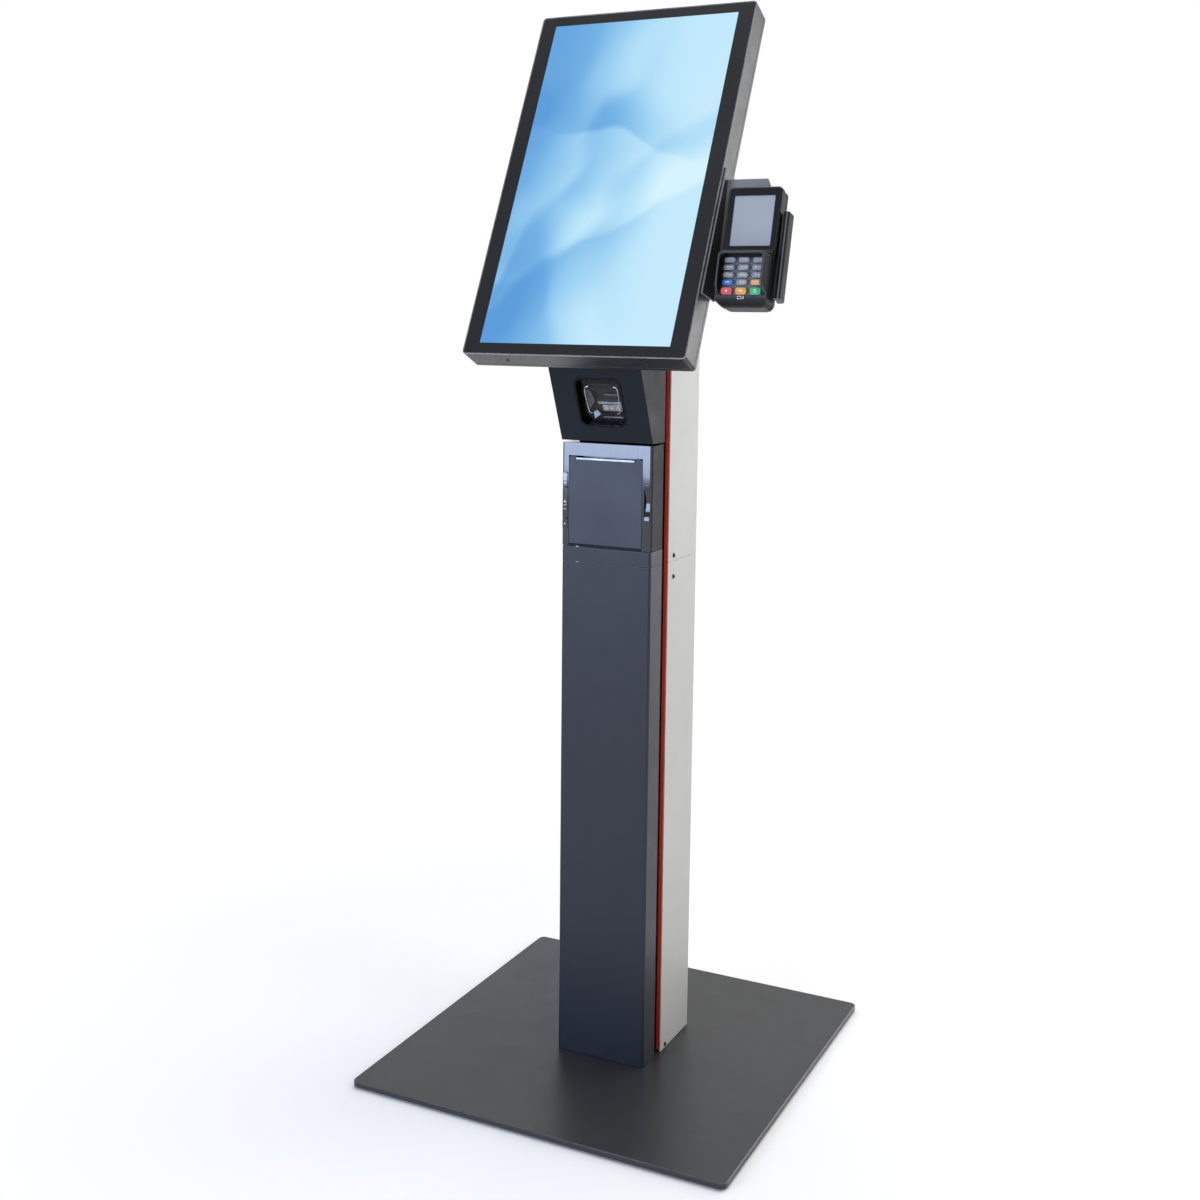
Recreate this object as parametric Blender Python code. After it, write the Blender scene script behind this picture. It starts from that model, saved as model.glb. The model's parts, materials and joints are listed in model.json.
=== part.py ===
"""Self-service touchscreen kiosk: floor plate, slim column, tilting display, code scanner,
receipt printer and payment terminal. Units are metres, +Z is up and the front faces -Y.
The origin is on the floor, under the middle of the floor plate."""

import math

import bmesh
import bpy
from mathutils import Vector

MM = 0.001
GAP = 0.3 * MM

# floor plate and its pads
PLATE_SIDE = 540 * MM
PLATE_T = 8 * MM
PLATE_CORNER = 9 * MM
PAD_T = 1.5 * MM
PAD_R = 14 * MM
PAD_INSET = 34 * MM
PLATE_Z0 = PAD_T + GAP
PLATE_TOP = PLATE_Z0 + PLATE_T

# column: a dark cover in front, a grey shell behind, a steel channel inside
COVER_HALF_W = 66 * MM
COVER_FRONT = -60 * MM
COVER_REAR = -22 * MM
SHELL_HALF_W = 68.5 * MM
SHELL_FRONT = -6 * MM
SHELL_REAR = 91.5 * MM
SHEET_T = 2 * MM
COVER_BEND_R = 3.5 * MM
SHELL_BEND_R = 2.5 * MM
COLUMN_Z0 = PLATE_TOP + 2 * GAP
SEAM_Z = 707 * MM
SEAM = 0.5 * MM
COLUMN_TOP = 1083 * MM
CAP_T = 4 * MM
MAST_HALF_W = 60 * MM
MAST_FRONT = -21.5 * MM
MAST_REAR = 56 * MM
MAST_T = 2.5 * MM
FLANGE_T = 6 * MM
TRIM_INNER = 61 * MM
TRIM_OUTER = SHELL_HALF_W - SHEET_T - GAP
TRIM_FRONT = -5.4 * MM
TRIM_T = 3 * MM

# mains inlet, low in the back of the column
INLET_Z = 70 * MM
INLET_HALF_W = 14 * MM
INLET_HALF_H = 10.5 * MM
INLET_DEPTH = 18 * MM
SOCKET_HALF_W = 11.8 * MM
SOCKET_HALF_H = 8 * MM
SOCKET_DEPTH = 15 * MM
COLLAR_PROUD = 2 * MM
COLLAR_LIP = 4 * MM
CONTACT_HALF_W = 1 * MM
CONTACT_HALF_H = 2 * MM
CONTACT_TIP = 6 * MM
CONTACTS = ((-6.5 * MM, -1.5 * MM), (6.5 * MM, -1.5 * MM), (0.0, 2.5 * MM))

# receipt printer
PRINTER_Z0 = 728.6 * MM
PRINTER_Z1 = 868.6 * MM
PRINTER_HALF_W = 66.5 * MM
PRINTER_REAR = 46 * MM
PRINTER_BOX_HALF_W = 55.8 * MM
DOOR_X0 = -55.5 * MM
DOOR_X1 = 52 * MM
DOOR_Z0 = 732 * MM
DOOR_Z1 = 850.4 * MM
DOOR_T = 3 * MM
DOOR_PLAY = 0.6 * MM
SLOT_X0 = -46 * MM
SLOT_X1 = 42 * MM
SLOT_SILL = 845.6 * MM
BAY_X0 = -53.6 * MM
BAY_X1 = 50 * MM
BAY_REAR = 43 * MM
BAY_TOP = 862 * MM
BAY_FLOOR = 730.4 * MM
PAPER_X = 0.5 * (SLOT_X0 + SLOT_X1)
ROLL_R = 30 * MM
ROLL_W = 79.5 * MM
ROLL_CORE_R = 6.5 * MM
ROLL_Y = 4 * MM
PLATEN_R = 6 * MM
PLATEN_Y = -50 * MM
PLATEN_Z = 842 * MM
PLATEN_HALF_W = 41.3 * MM
JOURNAL_R = 2 * MM
JOURNAL_END = 44 * MM
LUG_INNER = 41.6 * MM
LUG_T = 3.4 * MM
LUG_R = 4.5 * MM
BAR_PROUD = 0.6 * MM
PRINT_HEAD_HALF_W = 41 * MM
CONTROL_PROUD = 0.6 * MM
SCOOP_DEPTH = 4.5 * MM

# left and right edges, bottom and top, and pocket depth of each control on the printer's face
CONTROL_POCKETS = {
    "status_strip": (-65.3 * MM, -57.7 * MM, 808.4 * MM, 827.6 * MM, 4 * MM),
    "feed_button": (-65.3 * MM, -57.7 * MM, 766 * MM, 807.2 * MM, 6.5 * MM),
    "power_button": (-65.3 * MM, -57.7 * MM, 751.8 * MM, 764.8 * MM, 6.5 * MM),
    "release_lever": (55.6 * MM, 63.4 * MM, 768.5 * MM, 817.5 * MM, 11 * MM),
}

# scanner hood: its face leans forward over the printer
HOOD_Z0 = 871.5 * MM
HOOD_Z1 = 996 * MM
HOOD_HALF_W = 67 * MM
HOOD_LEAN = math.radians(22.7)
HOOD_FACE_LENGTH = 118 * MM
HOOD_T = 2.5 * MM
RECESS_W = 70 * MM
RECESS_H = 72 * MM
RECESS_R = 13 * MM
RECESS_UP_FACE = 57 * MM
BEZEL_W = 3.2 * MM
BEZEL_DEPTH = 16 * MM
WINDOW_DEPTH = 9 * MM
WINDOW_T = 1.5 * MM

# display head
TILT = math.radians(25.5)
PIVOT_Z = 1187 * MM
HEAD_HALF_W = 157 * MM
HEAD_HALF_H = 254 * MM
HEAD_CORNER = 5 * MM
HEAD_WALL = 2 * MM
HEAD_FRONT = -67.5 * MM
HEAD_SEAM = -36.5 * MM
HEAD_REAR = -30.5 * MM
GLASS_T = 3 * MM
PANEL_W = 274 * MM
PANEL_H = 482 * MM
PANEL_T = 14 * MM
VENT_PITCH = 12 * MM
VENT_COLUMNS = 13
VENT_ROW_Z = 170 * MM
VENT_HALF_W = 1.5 * MM
VENT_HALF_H = 18 * MM

# tilt mount: a bracket on the column, a yoke on the head and the pin through both
PIN_R = 5 * MM
PIN_HEAD_R = 9 * MM
PIN_HEAD_T = 4 * MM
EAR_INNER = 36 * MM
EAR_T = 5 * MM
EAR_HALF = 15 * MM
EAR_REACH = 15 * MM
EAR_ROUND = 12 * MM
MOUNT_PLATE_HALF = 60 * MM
MOUNT_PLATE_T = 3 * MM
YOKE_T = 4 * MM
YOKE_HALF = 20 * MM
YOKE_REACH = 13 * MM

# payment terminal, in its own frame: the origin is the middle of its front face
TERMINAL_X = 211 * MM
TERMINAL_DEPTH = -67.2 * MM
TERMINAL_UP = -103 * MM
TERMINAL_UPRIGHT = math.radians(10.5)
TERMINAL_HALF_H = 76 * MM
TERMINAL_HALF_TOP = 34.5 * MM
TERMINAL_HALF_LOW = 32.7 * MM
FRONT_CASE_T = 12 * MM
TERMINAL_T = 27 * MM
SCREEN_HALF_W = 26.6 * MM
SCREEN_Z0 = 1 * MM
SCREEN_Z1 = 65 * MM
SCREEN_POCKET = 2.4 * MM
DECK = 9.8 * MM
DECK_Z1 = -3 * MM
DECK_SHOULDER = -10.5 * MM
CHIN_Z = -62 * MM
CHIN_R = 12 * MM
CORNER_LOW_R = 9 * MM
WELL_HALF_W = 27 * MM
WELL_Z0 = -63.6 * MM
WELL_Z1 = -15.6 * MM
WELL_DEPTH = 3.6 * MM
SHIELD_HEIGHT = 14 * MM
SHIELD_HALF_W = 32.4 * MM
SHIELD_LEAN = 3 * MM
SHIELD_WALL = 2.8 * MM
SHIELD_EDGE = 2 * MM
SHIELD_CORNER = 3 * MM
SHIELD_Z1 = -11.2 * MM
SHIELD_Z0 = -62 * MM
SHIELD_TIP = -53 * MM
READER_W = 10 * MM
READER_SLOT = 2.2 * MM
READER_Z0 = -64 * MM
READER_Z1 = 46 * MM
KEY_W = 14.2 * MM
KEY_PITCH_X = 18.6 * MM
KEY_TOP_ROW = -19.7 * MM
KEY_PITCH_Z = 9.3 * MM
KEY_H = 6.6 * MM
ACTION_KEY_H = 8.8 * MM
ACTION_KEY_DROP = 10.9 * MM
KEY_COLUMNS = 3
KEY_ROWS = 5
KEY_PROUD = 1.6 * MM
KEY_ROOT = 1.9 * MM
LEG_Z0 = -60 * MM
LEG_Z1 = 98 * MM
LEG_END = 6 * MM
LEG_BEHIND = 6 * MM
BRACKET_T = 2.5 * MM

ARC_STEPS = 4


# ---------------------------------------------------------------- helpers

def channel_value(value):
    """One sRGB channel, 0 to 1, as linear light."""
    if value <= 0.04045:
        return value / 12.92
    return ((value + 0.055) / 1.055) ** 2.4


def material(name, colour, roughness, metallic=0.0):
    """A Principled material from an sRGB hex colour."""
    found = bpy.data.materials.get(name)
    if found:
        return found
    made = bpy.data.materials.new(name)
    made.use_nodes = True
    shader = made.node_tree.nodes["Principled BSDF"]
    channels = [int(colour[i:i + 2], 16) / 255 for i in (0, 2, 4)]
    linear = [channel_value(channel) for channel in channels]
    shader.inputs["Base Color"].default_value = (*linear, 1.0)
    shader.inputs["Roughness"].default_value = roughness
    shader.inputs["Metallic"].default_value = metallic
    made.diffuse_color = (*linear, 1.0)
    return made


def empty(name, location, tilt=0.0, parent=None):
    """A guide frame, turned about X."""
    made = bpy.data.objects.new(name, None)
    made.location = location
    made.rotation_euler = (tilt, 0.0, 0.0)
    made.parent = parent
    made.empty_display_size = 20 * MM
    bpy.context.scene.collection.objects.link(made)
    return made


def add_object(name, mesh_builder, look, parent=None, location=(0.0, 0.0, 0.0)):
    """Link a bmesh to the scene as a named object with one material."""
    bmesh.ops.recalc_face_normals(mesh_builder, faces=mesh_builder.faces)
    mesh = bpy.data.meshes.new(name)
    mesh_builder.to_mesh(mesh)
    mesh_builder.free()
    mesh.shade_smooth()
    mesh.set_sharp_from_angle(angle=math.radians(35))
    if look:
        mesh.materials.append(look)
    made = bpy.data.objects.new(name, mesh)
    made.parent = parent
    made.location = location
    bpy.context.scene.collection.objects.link(made)
    return made


def place(axis, first, second, along):
    """A point from outline coordinates and its position along the extrusion axis."""
    if axis == "X":
        return Vector((along, first, second))
    if axis == "Y":
        return Vector((first, along, second))
    return Vector((first, second, along))


def prism(outline, low, high, axis):
    """Extrude a closed outline along an axis. The outline is (y, z), (x, z) or (x, y)."""
    built = bmesh.new()
    bottom = [built.verts.new(place(axis, a, b, low)) for a, b in outline]
    face = built.faces.new(bottom)
    extruded = bmesh.ops.extrude_face_region(built, geom=[face])
    moved = [item for item in extruded["geom"] if isinstance(item, bmesh.types.BMVert)]
    bmesh.ops.translate(built, vec=place(axis, 0.0, 0.0, high - low), verts=moved)
    return built


def box(x0, x1, y0, y1, z0, z1):
    """A plain block."""
    return prism([(x0, y0), (x1, y0), (x1, y1), (x0, y1)], z0, z1, "Z")


def arc(centre, radius, start, end, steps=ARC_STEPS):
    """Points on an arc, ends included, with angles in degrees."""
    points = []
    for step in range(steps + 1):
        angle = math.radians(start + (end - start) * step / steps)
        points.append((centre[0] + radius * math.cos(angle), centre[1] + radius * math.sin(angle)))
    return points


def rounded_rectangle(x0, x1, y0, y1, radius, steps=ARC_STEPS):
    """Anticlockwise outline with four equal corner arcs."""
    return (arc((x1 - radius, y0 + radius), radius, -90, 0, steps)
            + arc((x1 - radius, y1 - radius), radius, 0, 90, steps)
            + arc((x0 + radius, y1 - radius), radius, 90, 180, steps)
            + arc((x0 + radius, y0 + radius), radius, 180, 270, steps))


def folded_sheet(half_width, closed_y, open_y, thickness, bend_radius):
    """Outline of a sheet folded into a U whose web is at closed_y and legs end at open_y."""
    side = 1 if open_y > closed_y else -1
    outer = bend_radius
    inner = max(bend_radius - thickness, 0.4 * MM)
    web_y = closed_y + side * thickness
    outer_left = arc((-half_width + outer, closed_y + side * outer), outer, 180, 180 + side * 90)
    outer_right = arc((half_width - outer, closed_y + side * outer), outer, -side * 90, 0)
    inside = half_width - thickness
    inner_right = arc((inside - inner, web_y + side * inner), inner, 0, -side * 90)
    inner_left = arc((-inside + inner, web_y + side * inner), inner, 180 + side * 90, 180)
    return ([(-half_width, open_y)] + outer_left + outer_right + [(half_width, open_y)]
            + [(inside, open_y)] + inner_right + inner_left + [(-inside, open_y)])


def ring(outer, inner, low, high, axis):
    """A frame between two outlines with the same number of points."""
    built = bmesh.new()
    loops = []
    for outline, level in ((outer, low), (outer, high), (inner, high), (inner, low)):
        loops.append([built.verts.new(place(axis, a, b, level)) for a, b in outline])
    count = len(outer)
    for first, second in zip(loops, loops[1:] + loops[:1]):
        for i in range(count):
            j = (i + 1) % count
            built.faces.new((first[i], first[j], second[j], second[i]))
    return built


def pan(outer, inner, rim, floor, back, axis):
    """A block with a pocket: the pocket opens at rim and ends at floor."""
    built = bmesh.new()
    loops = []
    for outline, level in ((inner, floor), (inner, rim), (outer, rim), (outer, back)):
        loops.append([built.verts.new(place(axis, a, b, level)) for a, b in outline])
    count = len(outer)
    for first, second in zip(loops, loops[1:]):
        for i in range(count):
            j = (i + 1) % count
            built.faces.new((first[i], first[j], second[j], second[i]))
    built.faces.new(loops[0])
    built.faces.new(loops[-1])
    return built


def turned(profile, axis, segments=20, centre=(0.0, 0.0)):
    """A solid of revolution: profile is (position along the axis, radius) from end to end."""
    built = bmesh.new()
    rings = []
    for along, radius in profile:
        points = []
        for i in range(segments):
            angle = 2 * math.pi * i / segments
            first = centre[0] + radius * math.cos(angle)
            second = centre[1] + radius * math.sin(angle)
            points.append(built.verts.new(place(axis, first, second, along)))
        rings.append(points)
    for first, second in zip(rings, rings[1:]):
        for i in range(segments):
            j = (i + 1) % segments
            built.faces.new((first[i], first[j], second[j], second[i]))
    built.faces.new(rings[0])
    built.faces.new(rings[-1])
    return built


def tube(inner_radius, outer_radius, low, high, axis, segments=24, centre=(0.0, 0.0)):
    """A hollow cylinder."""
    outlines = []
    for radius in (outer_radius, inner_radius):
        outlines.append(arc(centre, radius, 0, 360, segments)[:-1])
    return ring(outlines[0], outlines[1], low, high, axis)


def combine(target, tool_mesh, operation, frame=None):
    """Add a Boolean to target. The hidden tool lies in target's own frame, or in a given one."""
    if frame:
        tool = add_object(target.name + "_tool", tool_mesh, None, frame)
    else:
        tool = add_object(target.name + "_tool", tool_mesh, None, target.parent, target.location)
    tool.hide_render = True
    tool.display_type = "WIRE"
    change = target.modifiers.new(operation.title(), "BOOLEAN")
    change.operation = operation
    change.solver = "EXACT"
    change.object = tool


def soften(target, width, segments=1, angle=40):
    """Bevel the edges sharper than an angle, in degrees."""
    change = target.modifiers.new("Edges", "BEVEL")
    change.width = width
    change.segments = segments
    change.limit_method = "ANGLE"
    change.angle_limit = math.radians(angle)
    return change


# ---------------------------------------------------------------- materials

def plate_paint():
    return material("plate_paint", "3b3c3f", 0.42, 0.2)


def cover_paint():
    return material("cover_paint", "33373f", 0.45, 0.1)


def shell_paint():
    return material("shell_paint", "c9cac8", 0.38, 0.1)


def head_paint():
    return material("head_paint", "38373b", 0.45, 0.1)


def dark_plastic():
    return material("dark_plastic", "26282c", 0.35)


def gloss_plastic():
    return material("gloss_plastic", "3a4150", 0.12)


def bare_steel():
    return material("bare_steel", "a9abad", 0.3, 1.0)


# ---------------------------------------------------------------- floor plate

def build_floor_plate():
    half = PLATE_SIDE / 2
    outline = rounded_rectangle(-half, half, -half, half, PLATE_CORNER, 5)
    plate = add_object("base_plate", prism(outline, PLATE_Z0, PLATE_TOP, "Z"), plate_paint())
    soften(plate, 0.9 * MM, 2, 60)
    rubber = material("pad_rubber", "1b1b1c", 0.8)
    reach = half - PAD_INSET
    for name, side_x, side_y in (("front_left", -1, -1), ("front_right", 1, -1),
                                 ("rear_left", -1, 1), ("rear_right", 1, 1)):
        pad = turned([(0.0, PAD_R - 0.4 * MM), (0.4 * MM, PAD_R), (PAD_T, PAD_R)], "Z")
        add_object("floor_pad_" + name, pad, rubber, location=(side_x * reach, side_y * reach, 0.0))


# ---------------------------------------------------------------- column

def build_mast():
    """Folded steel channel welded to its foot flange."""
    steel = material("mast_steel", "17181a", 0.55, 0.4)
    flange_z0 = PLATE_TOP + GAP
    section = folded_sheet(MAST_HALF_W, MAST_REAR, MAST_FRONT, MAST_T, MAST_T + 1 * MM)
    mast = add_object("mast", prism(section, flange_z0 + FLANGE_T / 2, COLUMN_TOP, "Z"), steel)
    outline = rounded_rectangle(-58 * MM, 58 * MM, -46 * MM, 84 * MM, 6 * MM, 2)
    combine(mast, prism(outline, flange_z0, flange_z0 + FLANGE_T, "Z"), "UNION")


def build_covers():
    section = folded_sheet(COVER_HALF_W, COVER_FRONT, COVER_REAR, SHEET_T, COVER_BEND_R)
    spans = {"front_cover": (COLUMN_Z0, SEAM_Z),
             "cover_band": (SEAM_Z + SEAM, PRINTER_Z0 - 0.8 * MM),
             "upper_front_cover": (HOOD_Z1 + SEAM, COLUMN_TOP)}
    for name, (low, high) in spans.items():
        add_object(name, prism(section, low, high, "Z"), cover_paint())


def build_rear_shells():
    section = folded_sheet(SHELL_HALF_W, SHELL_REAR, SHELL_FRONT, SHEET_T, SHELL_BEND_R)
    lower = add_object("rear_shell_lower", prism(section, COLUMN_Z0, SEAM_Z, "Z"), shell_paint())
    add_object("rear_shell_upper", prism(section, SEAM_Z + SEAM, COLUMN_TOP, "Z"), shell_paint())
    hole_half_w = INLET_HALF_W + GAP
    hole_half_h = INLET_HALF_H + GAP
    hole = box(-hole_half_w, hole_half_w, SHELL_REAR - 3 * SHEET_T, SHELL_REAR + 3 * SHEET_T,
               INLET_Z - hole_half_h, INLET_Z + hole_half_h)
    combine(lower, hole, "DIFFERENCE")


def build_red_trims():
    look = material("red_trim", "a82a1c", 0.32)
    for name, side in (("left", -1), ("right", 1)):
        x0, x1 = sorted((side * TRIM_INNER, side * TRIM_OUTER))
        strip = box(x0, x1, TRIM_FRONT, TRIM_FRONT + TRIM_T, COLUMN_Z0 + 1.5 * MM, COLUMN_TOP)
        add_object("red_trim_" + name, strip, look)


def build_cap():
    outline = rounded_rectangle(-SHELL_HALF_W, SHELL_HALF_W, COVER_FRONT, SHELL_REAR, 3.5 * MM)
    cap = add_object("column_cap", prism(outline, COLUMN_TOP + GAP, COLUMN_TOP + GAP + CAP_T, "Z"),
                     cover_paint())
    soften(cap, 0.8 * MM, 1, 60)


def inlet_outline(half_width, half_height, radius):
    return rounded_rectangle(-half_width, half_width, INLET_Z - half_height, INLET_Z + half_height, radius, 2)


def build_power_inlet():
    """Appliance inlet in the back of the lower shell, with its three contacts."""
    face = SHELL_REAR + COLLAR_PROUD
    body = inlet_outline(INLET_HALF_W, INLET_HALF_H, 1.5 * MM)
    socket = inlet_outline(SOCKET_HALF_W, SOCKET_HALF_H, 1.5 * MM)
    inlet = add_object("power_inlet", pan(body, socket, face, face - SOCKET_DEPTH, face - INLET_DEPTH, "Y"),
                       dark_plastic())
    collar = ring(inlet_outline(INLET_HALF_W + COLLAR_LIP, INLET_HALF_H + COLLAR_LIP, 2.5 * MM),
                  inlet_outline(INLET_HALF_W - 0.5 * MM, INLET_HALF_H - 0.5 * MM, 1 * MM),
                  SHELL_REAR + GAP, face, "Y")
    combine(inlet, collar, "UNION")
    for x, up in CONTACTS:
        z = INLET_Z + up
        contact = box(x - CONTACT_HALF_W, x + CONTACT_HALF_W, face - SOCKET_DEPTH - 1 * MM,
                      face - CONTACT_TIP, z - CONTACT_HALF_H, z + CONTACT_HALF_H)
        combine(inlet, contact, "UNION")


# ---------------------------------------------------------------- receipt printer

def build_printer_housing():
    """Glossy surround with the paper bay behind it."""
    front = COVER_FRONT
    rear = COVER_REAR - 2 * MM
    radius = COVER_BEND_R
    outline = ([(PRINTER_HALF_W, rear), (-PRINTER_HALF_W, rear)]
               + arc((-PRINTER_HALF_W + radius, front + radius), radius, 180, 270)
               + arc((PRINTER_HALF_W - radius, front + radius), radius, 270, 360))
    housing = add_object("printer_housing", prism(outline, PRINTER_Z0, PRINTER_Z1, "Z"), gloss_plastic())
    back_box = box(-PRINTER_BOX_HALF_W, PRINTER_BOX_HALF_W, rear - 5 * MM, PRINTER_REAR,
                   PRINTER_Z0, PRINTER_Z1)
    combine(housing, back_box, "UNION")
    mouth = box(DOOR_X0 - DOOR_PLAY, DOOR_X1 + DOOR_PLAY, front - 5 * MM, front + 8 * MM,
                BAY_FLOOR, DOOR_Z1 + DOOR_PLAY)
    combine(housing, mouth, "DIFFERENCE")
    bay = box(BAY_X0, BAY_X1, front + 6 * MM, BAY_REAR, BAY_FLOOR, BAY_TOP)
    combine(housing, bay, "DIFFERENCE")
    for x0, x1, z0, z1, depth in CONTROL_POCKETS.values():
        pocket = box(x0 - GAP, x1 + GAP, front - 5 * MM, front + depth, z0 - GAP, z1 + GAP)
        combine(housing, pocket, "DIFFERENCE")


def build_printer_controls():
    face = COVER_FRONT - CONTROL_PROUD
    for name in ("status_strip", "feed_button", "power_button"):
        x0, x1, z0, z1, depth = CONTROL_POCKETS[name]
        lens = name == "status_strip"
        room_behind = GAP if lens else 1.8 * MM
        outline = rounded_rectangle(x0, x1, z0, z1, 1.4 * MM, 2)
        look = material("status_lens", "1d2733", 0.15) if lens else gloss_plastic()
        add_object(name, prism(outline, face, COVER_FRONT + depth - room_behind, "Y"), look)
    x0, x1, z0, z1, depth = CONTROL_POCKETS["release_lever"]
    middle = 0.5 * (z0 + z1)
    scoop_half = 0.5 * (z1 - z0) - 4 * MM
    rear = COVER_FRONT + depth - 2.5 * MM
    scoop = []
    for step in range(9):
        share = step / 8
        scoop.append((face + SCOOP_DEPTH * math.sin(math.pi * share), middle + scoop_half * (2 * share - 1)))
    outline = [(rear, z1), (rear, z0), (face, z0)] + scoop + [(face, z1)]
    add_object("release_lever", prism(outline, x0, x1, "X"), gloss_plastic())


def build_printer_door():
    """Paper cover hinged at its bottom edge, with the platen's lugs and the tear bar on top."""
    back = DOOR_T / 2
    hinge_y = COVER_FRONT + back
    hinge_z = DOOR_Z0 + back
    hinge = empty("printer_door_hinge", (0.0, hinge_y, hinge_z))
    radius = 4 * MM
    low = DOOR_Z0 - hinge_z
    top = DOOR_Z1 - hinge_z
    sill = SLOT_SILL - hinge_z
    outline = ([(DOOR_X0, low), (DOOR_X1, low)]
               + arc((DOOR_X1 - radius, top - radius), radius, 0, 90)
               + [(SLOT_X1, top), (SLOT_X1, sill), (SLOT_X0, sill), (SLOT_X0, top)]
               + arc((DOOR_X0 + radius, top - radius), radius, 90, 180))
    door = add_object("printer_door", prism(outline, -back, back, "Y"),
                      material("door_plastic", "3d4656", 0.42), hinge)
    platen_y = PLATEN_Y - hinge_y
    platen_z = PLATEN_Z - hinge_z
    lug = ([(back - 1 * MM, platen_z - 8 * MM)] + arc((platen_y, platen_z), LUG_R, -90, 90)
           + [(back - 1 * MM, platen_z + 1.5 * MM)])
    for x0 in (PAPER_X - LUG_INNER - LUG_T, PAPER_X + LUG_INNER):
        combine(door, prism(lug, x0, x0 + LUG_T, "X"), "UNION")
    bearing_r = JOURNAL_R + GAP
    bearing = turned([(DOOR_X0, bearing_r), (DOOR_X1, bearing_r)], "X", 12, (platen_y, platen_z))
    combine(door, bearing, "DIFFERENCE")
    bar_z = sill + GAP
    bar_front = -back - BAR_PROUD
    bar = [(bar_front, bar_z), (back, bar_z), (back, bar_z + 1.5 * MM), (bar_front, bar_z + 2.6 * MM)]
    add_object("tear_bar", prism(bar, SLOT_X0 + 1 * MM, SLOT_X1 - 1 * MM, "X"), bare_steel(), hinge)
    half_platen = [(PLATEN_HALF_W, PLATEN_R), (PLATEN_HALF_W, JOURNAL_R), (JOURNAL_END, JOURNAL_R)]
    profile = [(-along, radius) for along, radius in reversed(half_platen)] + half_platen
    platen = turned(profile, "X", 16)
    add_object("platen_roller", platen, material("platen_rubber", "202124", 0.7), hinge,
               (PAPER_X, platen_y, platen_z))


def build_paper_parts():
    paper = material("receipt_paper", "efeeea", 0.8)
    roll = tube(ROLL_CORE_R, ROLL_R, -ROLL_W / 2, ROLL_W / 2, "X", 32)
    add_object("paper_roll", roll, paper, location=(PAPER_X, ROLL_Y, BAY_FLOOR + ROLL_R + 0.6 * MM))
    head_y = PLATEN_Y + PLATEN_R + 0.5 * MM
    head = box(PAPER_X - PRINT_HEAD_HALF_W, PAPER_X + PRINT_HEAD_HALF_W, head_y, head_y + 4 * MM,
               PLATEN_Z - PLATEN_R, BAY_TOP - GAP)
    add_object("print_head", head, bare_steel())


# ---------------------------------------------------------------- scanner hood

def hood_face_point(along, inward=0.0):
    """A (y, z) point up the leaning face, set inward from it."""
    y = COVER_FRONT - along * math.sin(HOOD_LEAN) + inward * math.cos(HOOD_LEAN)
    z = HOOD_Z0 + along * math.cos(HOOD_LEAN) + inward * math.sin(HOOD_LEAN)
    return y, z


def build_scanner():
    rear = COVER_REAR
    nose_y, nose_z = hood_face_point(HOOD_FACE_LENGTH)
    outline = [(COVER_FRONT, HOOD_Z0), (nose_y, nose_z), (nose_y + 5 * MM, nose_z + 5.5 * MM),
               (COVER_FRONT, HOOD_Z1), (rear, HOOD_Z1), (rear, HOOD_Z0)]
    hood = add_object("scanner_hood", prism(outline, -HOOD_HALF_W, HOOD_HALF_W, "X"), cover_paint())
    low_y, low_z = hood_face_point(0.0, HOOD_T)
    low_y -= (HOOD_Z0 + HOOD_T - low_z) * math.tan(HOOD_LEAN)
    inner_nose_y, inner_nose_z = hood_face_point(HOOD_FACE_LENGTH - 2 * MM, HOOD_T)
    inside = [(low_y, HOOD_Z0 + HOOD_T), (inner_nose_y, inner_nose_z),
              (COVER_FRONT, HOOD_Z1 - HOOD_T), (rear + 5 * MM, HOOD_Z1 - HOOD_T),
              (rear + 5 * MM, HOOD_Z0 + HOOD_T)]
    combine(hood, prism(inside, -HOOD_HALF_W + HOOD_T, HOOD_HALF_W - HOOD_T, "X"), "DIFFERENCE")

    centre_y, centre_z = hood_face_point(RECESS_UP_FACE)
    face = empty("scanner_face", (0.0, centre_y, centre_z), HOOD_LEAN)
    hole = rounded_rectangle(-RECESS_W / 2, RECESS_W / 2, -RECESS_H / 2, RECESS_H / 2, RECESS_R)
    combine(hood, prism(hole, -4 * HOOD_T, 4 * HOOD_T, "Y"), "DIFFERENCE", face)

    def inset(amount):
        return rounded_rectangle(-RECESS_W / 2 + amount, RECESS_W / 2 - amount,
                                 -RECESS_H / 2 + amount, RECESS_H / 2 - amount, RECESS_R - amount)

    add_object("scanner_bezel", ring(inset(GAP), inset(BEZEL_W), -0.4 * MM, BEZEL_DEPTH, "Y"),
               material("scanner_gloss", "121418", 0.1), face)
    add_object("scanner_window", prism(inset(BEZEL_W + GAP), WINDOW_DEPTH, WINDOW_DEPTH + WINDOW_T, "Y"),
               material("scanner_glass", "20262b", 0.05), face)
    add_object("scanner_engine", box(-25 * MM, 25 * MM, 17 * MM, 36 * MM, -20 * MM, 20 * MM),
               dark_plastic(), face)
    lamps = box(-3 * MM, 23 * MM, 12 * MM, 16.5 * MM, -18 * MM, -9 * MM)
    add_object("scanner_lamps", lamps, material("lamp_silver", "9aa4ad", 0.25, 0.6), face)


# ---------------------------------------------------------------- tilt mount and display head

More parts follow.
